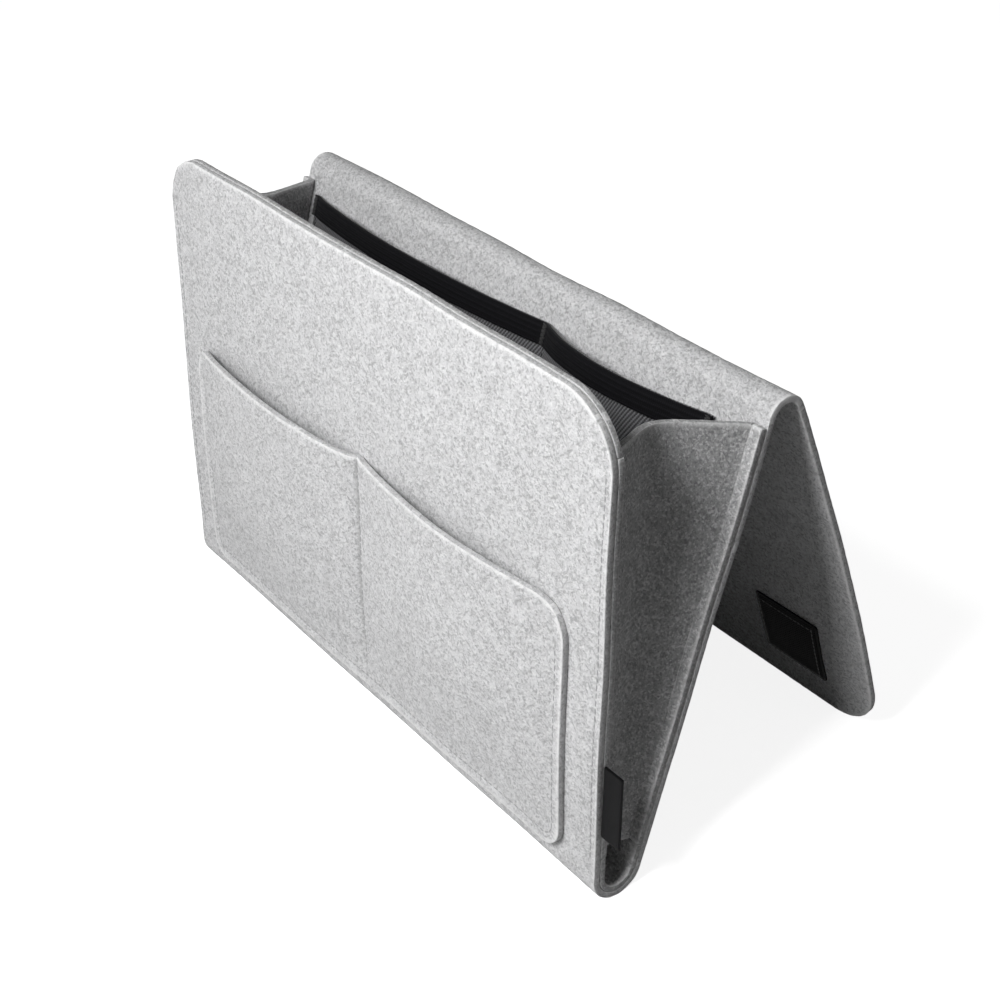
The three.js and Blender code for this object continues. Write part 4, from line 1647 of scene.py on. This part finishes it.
@dataclass
class HookPatches(Workshop):
    """The two patches of hook tape on the flap's inner face."""

    half_width: float = 20 * MM
    half_height: float = 18.75 * MM
    corner: float = 1.5 * MM
    from_middle: float = 122 * MM
    middle_y: float = -173.6 * MM
    low: float = -5.7 * MM
    base: float = 0.7 * MM
    arris: float = 0.2 * MM
    step: float = 1 * MM
    wire: float = 0.14 * MM  # half the thickness of a hook
    stem: float = 0.45 * MM  # its straight foot
    curl: float = 0.32 * MM  # the radius of its curl
    curl_turn: float = math.radians(170)
    pitch: float = 1.5 * MM
    margin: float = 0.6 * MM  # the tape's edge has no hooks
    lean: float = 0.15 * MM  # from a hook's root to the middle of its width
    rooted: float = 0.05 * MM  # how deep the hooks start in the tape
    seam_inset: float = 2.9 * MM
    seam_height: float = 1.75 * MM
    seams: Seams = Seams(width=0.7 * MM, height=0.55 * MM, length=2.3 * MM, pitch=2.6 * MM)

    def hook(self) -> bpy.types.Object:
        """Builds one hook, drawn in millimetres and then made to size.

        Returns:
            The hook, with its root at the origin.
        """
        wire, stem, curl = (size / MM for size in (self.wire, self.stem, self.curl))
        bpy.ops.object.select_all(action="DESELECT")
        bpy.ops.mesh.primitive_circle_add(vertices=5, radius=wire, fill_type="NGON")
        hook = bpy.context.object
        bpy.ops.object.mode_set(mode="EDIT")
        bpy.ops.mesh.select_all(action="SELECT")
        bpy.ops.mesh.extrude_region_move(TRANSFORM_OT_translate={"value": (0, 0, stem)})
        bpy.ops.mesh.spin(steps=4, angle=self.curl_turn, center=(curl, 0, stem), axis=(0, 1, 0))
        bpy.ops.mesh.select_all(action="SELECT")
        bpy.ops.mesh.normals_make_consistent(inside=False)
        bpy.ops.object.mode_set(mode="OBJECT")
        hook.data.transform(Matrix.Scale(MM, 4))
        return hook

    def make_base(self, side: Side) -> bpy.types.Object:
        """Builds one patch's tape.

        Args:
            side: The end of the flap.

        Returns:
            The tape, without its hooks.
        """
        plane = self.frame.flap

        def place(x: np.ndarray, y: np.ndarray) -> Points:
            """The tape's middle surface."""
            for end in (-1, 1):
                for way in (-1, 1):
                    arc = (end * (self.half_width - self.corner), way * (self.half_height - self.corner))
                    x, y = round_corner(x, y, arc, (end, way)).T
            x, y = x + side.value * self.from_middle, y + self.middle_y
            return plane.world(np.column_stack([x, y, self.low + self.base / 2 + plane.wave(x, y)]))

        across = stops(-self.half_width, self.half_width, self.step)
        along = stops(-self.half_height, self.half_height, self.step)
        tape = add_sheet(f"{side.label}_hook_tape", across, along, place)
        apply_modifier(tape, "SOLIDIFY", thickness=self.base, offset=0.0)
        soften(tape, self.arris)
        return tape

    def make_hooks(self, side: Side) -> bpy.types.Object:
        """Builds one patch's field of hooks.

        Args:
            side: The end of the flap.

        Returns:
            The hooks as one object, in their places.
        """
        plane, hooks = self.frame.flap, self.hook()
        columns, rows = (
            int(2 * (half - self.margin) / self.pitch) for half in (self.half_width, self.half_height)
        )
        for count, offset in ((columns, (self.pitch, 0, 0)), (rows, (0, self.pitch, 0))):
            settings = {"use_relative_offset": False, "use_constant_offset": True}
            apply_modifier(hooks, "ARRAY", count=count, constant_offset_displace=offset, **settings)
        points = points_of(hooks)
        points[:, 0] += side.value * self.from_middle - (columns - 1) / 2 * self.pitch - self.lean
        points[:, 1] += self.middle_y - (rows - 1) / 2 * self.pitch
        points[:, 2] += self.low + self.base - self.rooted + plane.wave(points[:, 0], points[:, 1])
        move_points(hooks, plane.world(points))
        return hooks

    def make_patch(self, side: Side) -> None:
        """Builds one patch with its stitches.

        Args:
            side: The end of the flap.
        """
        patch, hooks = self.make_base(side), self.make_hooks(side)
        select_only(patch)
        hooks.select_set(True)
        bpy.ops.object.join()
        self.dress(patch, Slot.HOOKS, f"{side.label}_hook_patch", Body.FLAP)

        centre = side.value * self.from_middle
        u, v = self.half_width - self.seam_inset, self.half_height - self.seam_inset
        corners = [(-u, -v), (u, -v), (u, v), (-u, v), (-u, -v)]
        line = [(centre + a, self.middle_y + b) for a, b in corners]
        height = self.low + self.seam_height
        row = self.seams.row(f"{side.label}_patch_stitches", self.frame.flap, line, height, 1)
        self.dress(row, Slot.BLACK_THREAD, f"{side.label}_patch_stitching", Body.FLAP)

    def make(self) -> None:
        """Builds both patches."""
        for side in Side:
            self.make_patch(side)


@dataclass(frozen=True)
class Lamp:
    """A square soft lamp that points at a place."""

    name: str
    place: tuple[float, float, float]
    aim: tuple[float, float, float]
    size: float
    power: float

    def make(self) -> None:
        """Adds the lamp."""
        data = bpy.data.lights.new(self.name, "AREA")
        data.shape, data.size, data.energy = "SQUARE", self.size, self.power
        lamp = bpy.data.objects.new(self.name, data)
        lamp.location = self.place
        lamp.rotation_euler = (Vector(self.aim) - Vector(self.place)).to_track_quat("-Z", "Y").to_euler()
        bpy.context.scene.collection.objects.link(lamp)


@dataclass
class Studio:
    """The pale floor, the soft lamps and the camera."""

    place: tuple = (0.58611, -0.40733, 0.55688)
    azimuth: float = math.radians(55.524)
    elevation: float = math.radians(33.22)
    roll: float = math.radians(-3.844)
    lens: float = 63.931
    sensor: float = 36.0
    floor_size: float = 14.0
    floor_bounce: float = 0.42  # the floor's level as the object sees it
    floor_level: float = 0.75  # and its level to the eye, where a glow lifts it to white
    floor_glow: float = 0.86
    world_light: float = 0.07
    lamps: tuple[Lamp, ...] = (
        Lamp("key", (0.17, -0.72, 0.88), (0.05, -0.05, 0.15), 0.35, 8.8),
        Lamp("fill", (-0.1, -1.0, 0.5), (0, -0.05, 0.1), 0.7, 4.0),
        Lamp("near", (0.15, -0.34, 0.52), (0.12, -0.05, 0.12), 0.2, 0.55),
        Lamp("side", (1.3, 0.1, 0.45), (0.1, 0, 0.1), 0.8, 0.25),
        Lamp("top", (0, 0.3, 1.3), (0, 0.03, 0.2), 0.6, 0.8),
    )

    def add_camera(self) -> None:
        """Sets the camera where the photograph was taken from."""
        a, e = self.azimuth, self.elevation
        forward = Vector((-math.sin(a) * math.cos(e), math.cos(a) * math.cos(e), -math.sin(e)))
        level = Vector((math.cos(a), math.sin(a), 0))
        above = level.cross(forward)
        right = level * math.cos(self.roll) + above * math.sin(self.roll)
        up = right.cross(forward)
        data = bpy.data.cameras.new("camera")
        data.lens, data.sensor_width = self.lens, self.sensor
        data.clip_start, data.clip_end = 0.01, 50
        camera = bpy.data.objects.new("camera", data)
        turn = Matrix((right, up, -forward)).transposed().to_4x4()
        camera.matrix_world = Matrix.Translation(self.place) @ turn
        bpy.context.scene.collection.objects.link(camera)
        bpy.context.scene.camera = camera

    @staticmethod
    def seen(shader: Shader) -> Value:
        """Tells the eye's rays from those that carry light.

        Args:
            shader: The material that asks.

        Returns:
            1 for a ray from the eye, a reflection or glass, 0 for the light that the surroundings give.
        """
        outputs = shader.node("ShaderNodeLightPath", {}, {}).socket.node.outputs
        names = ("Is Camera Ray", "Is Glossy Ray", "Is Transmission Ray")
        eye, gloss, glass = (Value(shader, outputs[name]) for name in names)
        return eye.largest(gloss).largest(glass)

    def add_floor(self) -> None:
        """Adds the floor, white to the eye but for the object's shadow."""
        bpy.ops.object.select_all(action="DESELECT")
        bpy.ops.mesh.primitive_plane_add(size=self.floor_size)
        floor = bpy.context.object
        floor.name = floor.data.name = "floor"
        shader = Shader("floor")
        seen = self.seen(shader)
        bounce = shader.node("ShaderNodeBsdfDiffuse", {}, {"Color": grey(self.floor_bounce)})
        pale = shader.node("ShaderNodeBsdfDiffuse", {}, {"Color": grey(self.floor_level)})
        glow = shader.node("ShaderNodeEmission", {}, {"Color": grey(1.0), "Strength": self.floor_glow})
        shown = shader.node("ShaderNodeAddShader", {}, {0: pale, 1: glow})
        surface = shader.node("ShaderNodeMixShader", {}, {0: seen, 1: bounce, 2: shown})
        shader.tree.links.new(surface.socket, shader.output.inputs["Surface"])
        floor.data.materials.append(shader.material)

    def add_world(self) -> None:
        """Makes the surroundings white to the eye and dim as a lamp."""
        world = bpy.data.worlds.new("studio")
        world.use_nodes = True
        bpy.context.scene.world = world
        nodes, links = world.node_tree.nodes, world.node_tree.links
        nodes.clear()
        output = nodes.new("ShaderNodeOutputWorld")
        white, dim = nodes.new("ShaderNodeBackground"), nodes.new("ShaderNodeBackground")
        white.inputs["Color"].default_value = grey(1.0)
        dim.inputs["Color"].default_value = grey(1.0)
        dim.inputs["Strength"].default_value = self.world_light
        path, mix = nodes.new("ShaderNodeLightPath"), nodes.new("ShaderNodeMixShader")
        links.new(path.outputs["Is Camera Ray"], mix.inputs[0])
        links.new(dim.outputs[0], mix.inputs[1])
        links.new(white.outputs[0], mix.inputs[2])
        links.new(mix.outputs[0], output.inputs["Surface"])

    def make(self) -> None:
        """Builds the studio."""
        self.add_camera()
        self.add_floor()
        self.add_world()
        for lamp in self.lamps:
            lamp.make()
        bpy.context.scene.view_settings.view_transform = "Standard"


def main() -> None:
    """Builds the caddy and its studio."""
    logging.basicConfig(level=logging.INFO, format="%(message)s")
    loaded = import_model()
    frame = Frame(loaded["joints"])
    Studio().make()
    materials = {slot: finish.make() for slot, finish in FINISHES.items()}
    for kind in (LongSheet, Lining, Gussets, FrontPocket, MeshPocket, HookPatches):
        kind(frame, materials).make()
    bpy.context.view_layer.update()


if __name__ == "__main__":
    main()
